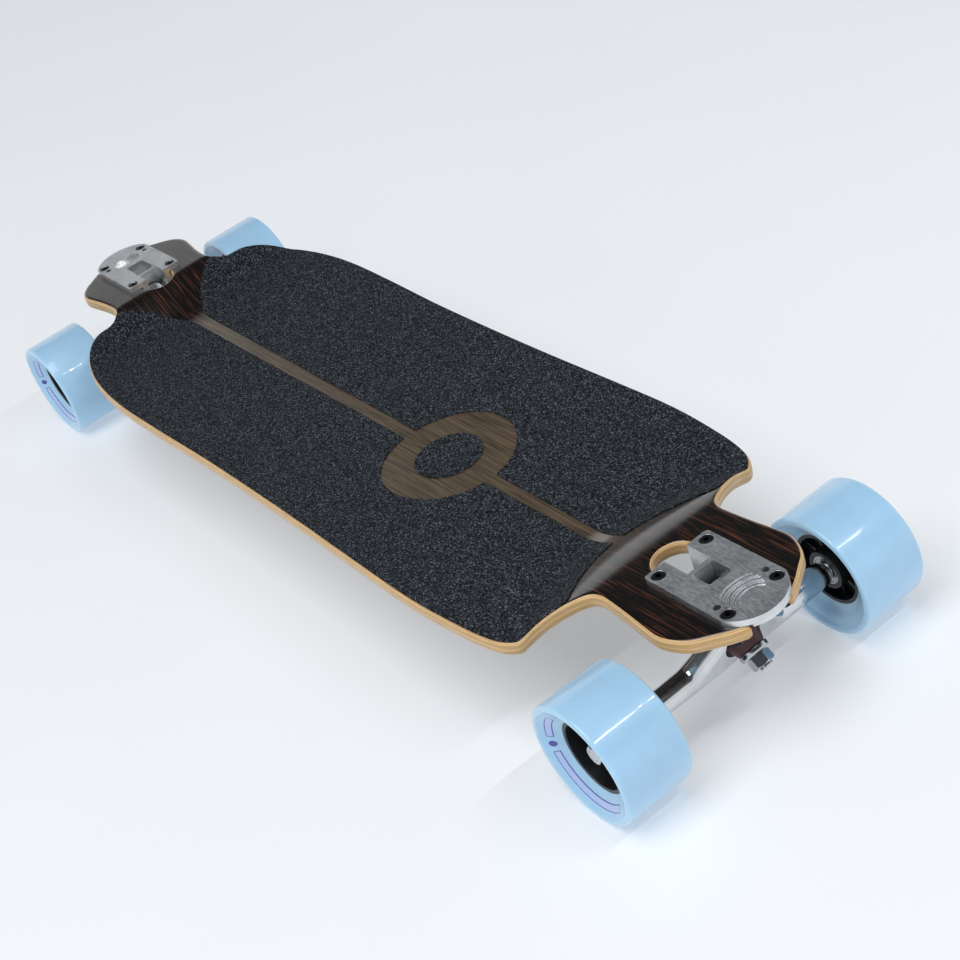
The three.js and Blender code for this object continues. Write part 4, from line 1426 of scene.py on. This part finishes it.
def build_kingpin(end, kingpin, steel, red):
    """Kingpin, its nut, the cup washer and the two bushings."""
    head = chamfered_hex(f"{end}_kingpin_bolt", 14.2, SEAT_TOP + 0.3, SEAT_TOP + 6, kingpin, chamfer=0.9)
    shank = [(0, -33.4), (4.1, -33.4), (4.76, -32.7), (4.76, SEAT_TOP + 1), (0, SEAT_TOP + 1)]
    combine(head, piece("shank", turned(shank, 40), kingpin), "UNION")
    dress(shade(head), steel, "board", [f"{end}_kingpin"])
    nut = chamfered_hex(f"{end}_kingpin_locknut", 14.3, -31.4, -23.4, kingpin, hole=5.05, chamfer=1.1)
    dress(shade(nut), steel, "board", [f"{end}_kingpin_nut"])
    washer = [(5.2, -21.1), (9.5, -21.1, 0.5), (9.9, -19.1), (10.8, -19.1, 0.4),
              (10.6, -23.1, 1.6), (5.2, -23.1)]
    washer = piece(f"{end}_cup_washer", turned(filleted(washer), 64, closed=True), kingpin)
    dress(shade(washer), steel, "board", [f"{end}_washer"])
    barrel = [(5.3, 5.8), (13.3, 5.8, 1.0), (13.4, 9.8, 1.5), (12.5, 13.3, 3), (13.4, 16.8, 1.5),
              (13.3, 20.8, 1.0), (5.3, 20.8)]
    cone = [(5.3, -5.8), (13.3, -5.8, 1.0), (13.3, -9.3, 2.5), (9.0, -20.8, 0.8), (5.3, -20.8)]
    for name, profile, fixed, turning in (
        ("bushing_deck_side", barrel, 20.8, 5.8), ("bushing_road_side", cone, -20.8, -5.8),
    ):
        soft = shade(piece(f"{end}_soft_{name}", turned(filleted(profile), 64, closed=True), kingpin))
        dress(soft, red, None, [f"{end}_{name}"])
        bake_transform(soft)


def build_axle(end, steel, nylon):
    """Axle, speed rings, and the locknuts with their nylon rings."""
    place = axle_frame(end)
    thread = [(0, 118.1), (3.2, 118.1)]
    for turn in range(8):
        thread += [(3.95, 117.4 - turn * 0.9), (3.5, 116.95 - turn * 0.9)]
    rod = thread + [(3.95, 109.8)]
    rod += [(r, -z) for r, z in reversed(rod)]
    axle = piece(f"{end}_axle_rod", turned(rod, 40), place)
    dress(shade(axle), steel, f"{end}_hanger", [f"{end}_axle"])
    rings = bmesh.new()
    for low in (85.0, 110.95, -85.7, -111.6):
        ring = [(4.1, low), (6.6, low, 0.2), (6.6, low + 0.65, 0.2), (4.1, low + 0.65)]
        part = turned(filleted(ring), 40, closed=True)
        mesh = bpy.data.meshes.new("ring")
        part.to_mesh(mesh)
        part.free()
        rings.from_mesh(mesh)
        bpy.data.meshes.remove(mesh)
    rings = piece(f"{end}_speed_rings", rings, place)
    dress(shade(rings), steel, f"{end}_hanger")
    for hand in HANDS:
        outward = axle_frame(end, hand)
        nut = chamfered_hex(f"{end}_axle_locknut_{hand}", 12.6, 111.7, 118.0, outward, hole=4.25)
        dress(shade(nut), steel, f"{end}_hanger", [f"{end}_axle_nut_{hand}"])
        insert = [(4.05, 116.2), (4.85, 116.2), (4.85, 117.9, 0.3), (4.05, 117.9)]
        insert = piece(f"{end}_nut_insert_{hand}", turned(filleted(insert), 40, closed=True), outward)
        dress(shade(insert), nylon, f"{end}_hanger")


def build_bolts(look):
    """The eight countersunk truck bolts and their locknuts."""
    black = metal_finish("black_oxide", look.bolt_colour, 0.38, 600, 0.00005)
    profile = [(0, 83.5), (1.9, 83.5), (2.4, 84.1), (2.4, 104.8), (4.7, 107.4, 0.3),
               (4.2, 107.9, 0.3), (0, 107.9)]
    bolt = piece("bolt", turned(filleted(profile, closed=False), 32))
    combine(bolt, piece("key_socket", hexagon(3.6, 105.2, 110)), "DIFFERENCE")
    shade(bolt)
    nut = shade(chamfered_hex("nut", 9.5, 85.4, 91.7, Matrix(), hole=2.75, chamfer=0.8))
    tree = bolt_pattern_tree()
    for name, source, stem in (("truck_bolts", bolt, "bolt"), ("truck_bolt_nuts", nut, "bolt_nut")):
        made = grown(name, tree, {
            "Fastener": source,
            "Spacing along": BOLT_SPACING[0] * MM,
            "Spacing across": BOLT_SPACING[1] * MM,
            "Truck distance": truck_frame("front").translation.x,
            "Finish": black,
        })
        bpy.data.objects.remove(source)
        nodes = [f"{end}_{stem}_{number}" for end in ENDS for number in range(1, 5)]
        dress(made, black, "board", nodes)
    bpy.data.node_groups.remove(tree)


def draw_core(look, finish):
    """The wheel's core: a sleeve in the urethane, a hub for the bearings, and a ribbed web."""
    sleeve = [(24.4, -16.0), (27, -16.0), (27, 16.0), (24.4, 16.0, 0.5)]
    core = piece("core", turned(filleted(sleeve), 72, closed=True))
    hub = [(9.8, -0.4), (11.2, -0.4), (11.2, 7.7), (14.2, 7.7, 0.6), (14.6, 0), (14.6, -10),
           (14.2, -17.7, 0.6), (11.2, -17.7), (11.2, -9.6), (9.8, -9.6)]
    web = [(13, -6.8), (25.4, -6.8), (25.4, -3.2), (13, -3.2)]
    for name, profile in (("hub", hub), ("web", web)):
        combine(core, piece(name, turned(filleted(profile), 72, closed=True)), "UNION")
    rib = piece("rib", prism([(-5.6, -1.2), (5.6, -1.2), (5.6, 1.2), (-5.6, 1.2)], -9.8, -0.2))
    tree = rib_ring_tree()
    ribs = grown("ribs", tree, {"Rib": rib, "Count": look.ribs, "Radius": 19.5 * MM, "Finish": finish})
    combine(core, ribs, "UNION")
    bpy.data.objects.remove(rib)
    bpy.data.node_groups.remove(tree)
    return shade(soften_edges(core, 0.25, 50), 34)


def build_wheels(look):
    """Tyres, cores and bearings."""
    urethane = urethane_finish(look)
    black = moulded_finish("moulded_core", look.core_colour, 0.36, 500)
    race = metal_finish("bearing_steel", look.race_colour, 0.22, 500, 0.00004)
    side = [(27.1, 16.2), (32.5, 19.7), (32.9, 20.3), (38.4, 23.9, 2.2), (40.9, 26.2, 1.3), (45, 26.2, 3.6)]
    half = side + [(45, 0)]
    profile = filleted(half + [(point[0], -point[1], *point[2:]) for point in reversed(side)])
    tyre = shade(piece("tyre", turned(profile, 160, closed=True)), 40)
    core = draw_core(look, black)
    races = [(4.1, -3.4), (5.7, -3.4, 0.2), (5.9, -2.9), (9.2, -2.9), (9.4, -3.4), (11, -3.4, 0.4),
             (11, 3.4, 0.4), (9.4, 3.4), (9.2, 2.9), (5.9, 2.9), (5.7, 3.4, 0.2), (4.1, 3.4)]
    bearing = shade(piece("bearing", turned(filleted(races), 56, closed=True)), 30)
    for end in ENDS:
        for hand in HANDS:
            place = wheel_frame(end, hand)
            wheel = f"{end}_{hand}"
            body = f"{wheel}_wheel"
            made = placed_copy(tyre, f"{wheel}_urethane", place)
            mark_face(made, place)
            dress(made, urethane, body, [f"{wheel}_tyre"])
            made = placed_copy(core, f"{wheel}_hub_core", place)
            dress(made, black, body, [f"{wheel}_core"])
            for where in ("inner", "outer"):
                centre = Matrix.Translation(middle(f"{wheel}_bearing_{where}")) @ place.to_3x3().to_4x4()
                made = placed_copy(bearing, f"{wheel}_race_{where}", centre)
                dress(made, race, body, [f"{wheel}_bearing_{where}"])
    for source in (tyre, core, bearing):
        bpy.data.objects.remove(source)


def mark_face(tyre, place):
    """Gives a tyre its face coordinates and marks its outer face, for the print."""
    mesh = tyre.data
    centre = place.translation
    outward = place.to_3x3() @ Vector((0, 0, 1))
    face = mesh.uv_layers.new(name="face")
    for loop in mesh.loops:
        offset = mesh.vertices[loop.vertex_index].co - centre
        face.data[loop.index].uv = (offset.x, offset.z)
    outer = mesh.attributes.new("outer_face", "FLOAT", "POINT")
    for vertex in mesh.vertices:
        outer.data[vertex.index].value = 1 if (vertex.co - centre).dot(outward) > 0 else 0


def build_stage(look):
    """Floor, lights, sky and camera."""
    floor_shape = bmesh.new()
    bmesh.ops.create_grid(floor_shape, x_segments=2, y_segments=2, size=9000)
    floor = piece("studio_floor", floor_shape)
    floor.data.materials.append(floor_finish(look))
    for name, place, aim, size, power in (
        ("overhead_softbox", (0.55, -1.35, 3.0), (0.55, -1.0, 0), (1.9, 3.1), look.overhead_power),
        ("strip_light", (1.49, 0.72, 2.0), (0.43, 0.72, 0), (0.02, 1.2), look.strip_power),
    ):
        light = bpy.data.lights.new(name, "AREA")
        light.shape = "RECTANGLE"
        light.size, light.size_y = size
        light.energy = power
        light.color = (0.97, 0.985, 1)
        lamp = bpy.data.objects.new(name, light)
        lamp.location = place
        away = Vector(place) - Vector(aim)
        across = Vector((0, 1, 0)).cross(away).normalized()
        lamp.rotation_euler = Matrix((across, away.cross(across).normalized(), away.normalized())
                                     ).transposed().to_euler()
        bpy.context.scene.collection.objects.link(lamp)
    build_sky(look)
    build_camera(look)


def build_sky(look):
    """A soft room: bright near the horizon and dim from halfway up."""
    world = bpy.data.worlds.new("soft_room")
    world.use_nodes = True
    nodes, links = world.node_tree.nodes, world.node_tree.links
    nodes.clear()
    place = nodes.new("ShaderNodeTexCoord")
    place.label = "Direction"
    parts = nodes.new("ShaderNodeSeparateXYZ")
    parts.label = "Height of the direction"
    tone = nodes.new("ShaderNodeValToRGB")
    tone.label = "Walls and ceiling"
    tone.color_ramp.elements[0].position = 0.36
    tone.color_ramp.elements[0].color = look.wall_colour
    tone.color_ramp.elements[1].position = 0.50
    tone.color_ramp.elements[1].color = look.upper_colour
    still_upper = tone.color_ramp.elements.new(0.90)
    still_upper.color = look.upper_colour
    ceiling = tone.color_ramp.elements.new(0.97)
    ceiling.color = look.ceiling_colour
    light = nodes.new("ShaderNodeBackground")
    light.label = "Room light"
    light.inputs["Strength"].default_value = look.room_strength
    output = nodes.new("ShaderNodeOutputWorld")
    output.label = "Room"
    links.new(place.outputs["Generated"], parts.inputs["Vector"])
    links.new(parts.outputs["Z"], tone.inputs["Fac"])
    links.new(tone.outputs["Color"], light.inputs["Color"])
    links.new(light.outputs["Background"], output.inputs["Surface"])
    for column, node in enumerate((place, parts, tone, light, output)):
        node.location = (220 * column, 0)
    bpy.context.scene.world = world


def build_camera(look):
    """A camera over the near corner of the nose."""
    bpy.context.scene.view_settings.view_transform = "Standard"
    lens = bpy.data.cameras.new("camera")
    lens.lens = look.lens
    lens.sensor_width = 36
    camera = bpy.data.objects.new("camera", lens)
    yaw, pitch, roll = 2.700, 0.589, -0.358
    ahead = Vector((math.cos(yaw) * math.cos(pitch), math.sin(yaw) * math.cos(pitch), -math.sin(pitch)))
    right = ahead.cross(Vector((0, 0, 1))).normalized()
    up = right.cross(ahead)
    leaned_right = math.cos(roll) * right + math.sin(roll) * up
    leaned_up = math.cos(roll) * up - math.sin(roll) * right
    turn = Matrix((leaned_right, leaned_up, -ahead)).transposed().to_4x4()
    camera.matrix_world = Matrix.Translation((1.1333, -0.4691, 0.8052)) @ turn
    bpy.context.scene.collection.objects.link(camera)
    bpy.context.scene.camera = camera


# ---- The add-on -------------------------------------------------------------------------------


def colour_property(name, description, default):
    """A colour that the user can change."""
    return FloatVectorProperty(
        name=name, description=description, default=(*default, 1), size=4, min=0, max=1, subtype="COLOR"
    )


class DeckLook(bpy.types.PropertyGroup):
    """Sizes and colours of the deck."""

    edge_radius: FloatProperty(
        name="Edge radius", description="Rounding of the deck's rim", default=0.0035, unit="LENGTH")
    veneer: FloatProperty(
        name="Veneer", description="Thickness of each face veneer", default=0.0005, unit="LENGTH")
    ply: FloatProperty(
        name="Ply", description="Thickness of one ply", default=0.00131, unit="LENGTH")
    grip: FloatProperty(
        name="Grip", description="Thickness of the abrasive sheet", default=0.0009, unit="LENGTH")
    grit: FloatProperty(
        name="Grit", description="Size of one grain", default=0.0008, unit="LENGTH")
    lacquer_roughness: FloatProperty(
        name="Lacquer roughness", description="Roughness of the lacquer", default=0.20, subtype="FACTOR")
    gold_colour: colour_property("Gold wood", "Pale grain in the middle", (0.135, 0.097, 0.058))
    grain_colour: colour_property("Grain", "Dark grain in the middle", (0.040, 0.026, 0.016))
    end_colour: colour_property("End wood", "Wood at the board's ends", (0.0020, 0.0010, 0.0008))
    streak_colour: colour_property("End streaks", "Streaks at the board's ends", (0.17, 0.055, 0.020))
    ply_colour: colour_property("Ply", "Long-grain plies", (0.74, 0.50, 0.24))
    cross_ply_colour: colour_property("Cross ply", "Cross-grain plies", (0.60, 0.36, 0.14))
    glue_colour: colour_property("Glue", "Glue lines", (0.36, 0.19, 0.07))
    grit_dark: colour_property("Dark grit", "Most of the grit", (0.0022, 0.0024, 0.0031))
    grit_light: colour_property("Light grit", "Grit that catches the light", (0.041, 0.049, 0.063))
    # Base colour of the painted glints on the grip
    painted_glint_colour: colour_property("Facets", "Brightest facets", (0.15, 0.165, 0.188))


class TruckLook(bpy.types.PropertyGroup):
    """Colours of the trucks."""

    cast_colour: colour_property("Casting", "Satin baseplates", (0.76, 0.775, 0.79))
    polished_colour: colour_property("Hanger", "Polished hangers", (0.66, 0.67, 0.68))
    steel_colour: colour_property("Steel", "Kingpins, nuts and axles", (0.55, 0.56, 0.58))
    bolt_colour: colour_property("Bolts", "Blackened bolts", (0.03, 0.03, 0.035))
    bushing_colour: colour_property("Bushings", "Dark red bushings", (0.065, 0.004, 0.007))
    cup_colour: colour_property("Pivot cups", "Black pivot cups", (0.012, 0.012, 0.013))


class WheelLook(bpy.types.PropertyGroup):
    """Sizes and colours of the wheels."""

    print_radius: FloatProperty(
        name="Print radius", description="Middle of the printed band", default=0.0345, unit="LENGTH")
    print_width: FloatProperty(
        name="Print width", description="Width of the printed band", default=0.0044, unit="LENGTH")
    ribs: IntProperty(name="Ribs", description="Ribs on the core's web", default=9, min=3)
    wheel_colour: colour_property("Urethane", "Light blue urethane", (0.42, 0.68, 0.91))
    ink_colour: colour_property("Ink", "Print outline", (0.045, 0.06, 0.38))
    filling_colour: colour_property("Filling", "Inside of the print", (0.47, 0.59, 0.90))
    core_colour: colour_property("Core", "Black core", (0.010, 0.0105, 0.012))
    race_colour: colour_property("Bearing", "Bearing steel", (0.45, 0.46, 0.48))


class StageLook(bpy.types.PropertyGroup):
    """Floor, lights and lens."""

    overhead_power: FloatProperty(
        name="Overhead", description="Overhead softbox", default=74, unit="POWER")
    strip_power: FloatProperty(name="Strip", description="Strip light", default=11, unit="POWER")
    room_strength: FloatProperty(name="Room", description="Strength of the room light", default=0.90)
    floor_glow: FloatProperty(
        name="Floor glow", description="Light that a backlit floor gives by itself", default=0.42)
    lens: FloatProperty(name="Lens", description="Focal length in millimetres", default=67.26)
    floor_colour: colour_property("Floor", "Pale floor", (0.70, 0.715, 0.735))
    wall_colour: colour_property("Walls", "Room near the horizon", (0.95, 0.975, 1.0))
    upper_colour: colour_property("Upper room", "Room halfway up", (0.09, 0.095, 0.105))
    ceiling_colour: colour_property("Ceiling", "Room overhead", (0.10, 0.105, 0.115))


class LONGBOARD_OT_deck(bpy.types.Operator):
    """Build the plies, the veneers and the grip"""

    bl_idname = "longboard.deck"
    bl_label = "Deck and grip"

    def execute(self, context):
        build_deck(context.scene.longboard_deck)
        return {"FINISHED"}


class LONGBOARD_OT_trucks(bpy.types.Operator):
    """Build both trucks"""

    bl_idname = "longboard.trucks"
    bl_label = "Trucks"

    def execute(self, context):
        build_trucks(context.scene.longboard_trucks)
        return {"FINISHED"}


class LONGBOARD_OT_bolts(bpy.types.Operator):
    """Build the truck bolts and their nuts"""

    bl_idname = "longboard.bolts"
    bl_label = "Truck bolts"

    def execute(self, context):
        build_bolts(context.scene.longboard_trucks)
        return {"FINISHED"}


class LONGBOARD_OT_wheels(bpy.types.Operator):
    """Build the tyres, cores and bearings"""

    bl_idname = "longboard.wheels"
    bl_label = "Wheels"

    def execute(self, context):
        build_wheels(context.scene.longboard_wheels)
        return {"FINISHED"}


class LONGBOARD_OT_stage(bpy.types.Operator):
    """Set up the floor, the lights and the camera"""

    bl_idname = "longboard.stage"
    bl_label = "Stage"

    def execute(self, context):
        build_stage(context.scene.longboard_stage)
        return {"FINISHED"}


class LONGBOARD_PT_panel(bpy.types.Panel):
    """Lists the board's pieces"""

    bl_label = "Longboard"
    bl_idname = "LONGBOARD_PT_panel"
    bl_space_type = "VIEW_3D"
    bl_region_type = "UI"
    bl_category = "Longboard"

    def draw(self, context):
        layout = self.layout
        for operator in OPERATORS:
            layout.operator(operator.bl_idname)
        for name in GROUPS:
            look = getattr(context.scene, name)
            box = layout.box()
            for field in look.bl_rna.properties:
                if field.identifier not in ("name", "rna_type"):
                    box.prop(look, field.identifier)


OPERATORS = (
    LONGBOARD_OT_stage, LONGBOARD_OT_deck, LONGBOARD_OT_trucks, LONGBOARD_OT_bolts, LONGBOARD_OT_wheels,
)
GROUPS = {
    "longboard_deck": DeckLook,
    "longboard_trucks": TruckLook,
    "longboard_wheels": WheelLook,
    "longboard_stage": StageLook,
}


def register():
    """Adds the board's classes and its looks."""
    for item in (*GROUPS.values(), *OPERATORS, LONGBOARD_PT_panel):
        bpy.utils.register_class(item)
    for name, group in GROUPS.items():
        setattr(bpy.types.Scene, name, PointerProperty(type=group))


def unregister():
    """Removes what register added."""
    for name in GROUPS:
        delattr(bpy.types.Scene, name)
    for item in reversed((*GROUPS.values(), *OPERATORS, LONGBOARD_PT_panel)):
        bpy.utils.unregister_class(item)


def main():
    """Builds the whole board."""
    register()
    bpy.ops.longboard.stage()
    bpy.ops.longboard.deck()
    bpy.ops.longboard.trucks()
    bpy.ops.longboard.bolts()
    bpy.ops.longboard.wheels()
    bpy.context.view_layer.update()


if __name__ == "__main__":
    main()
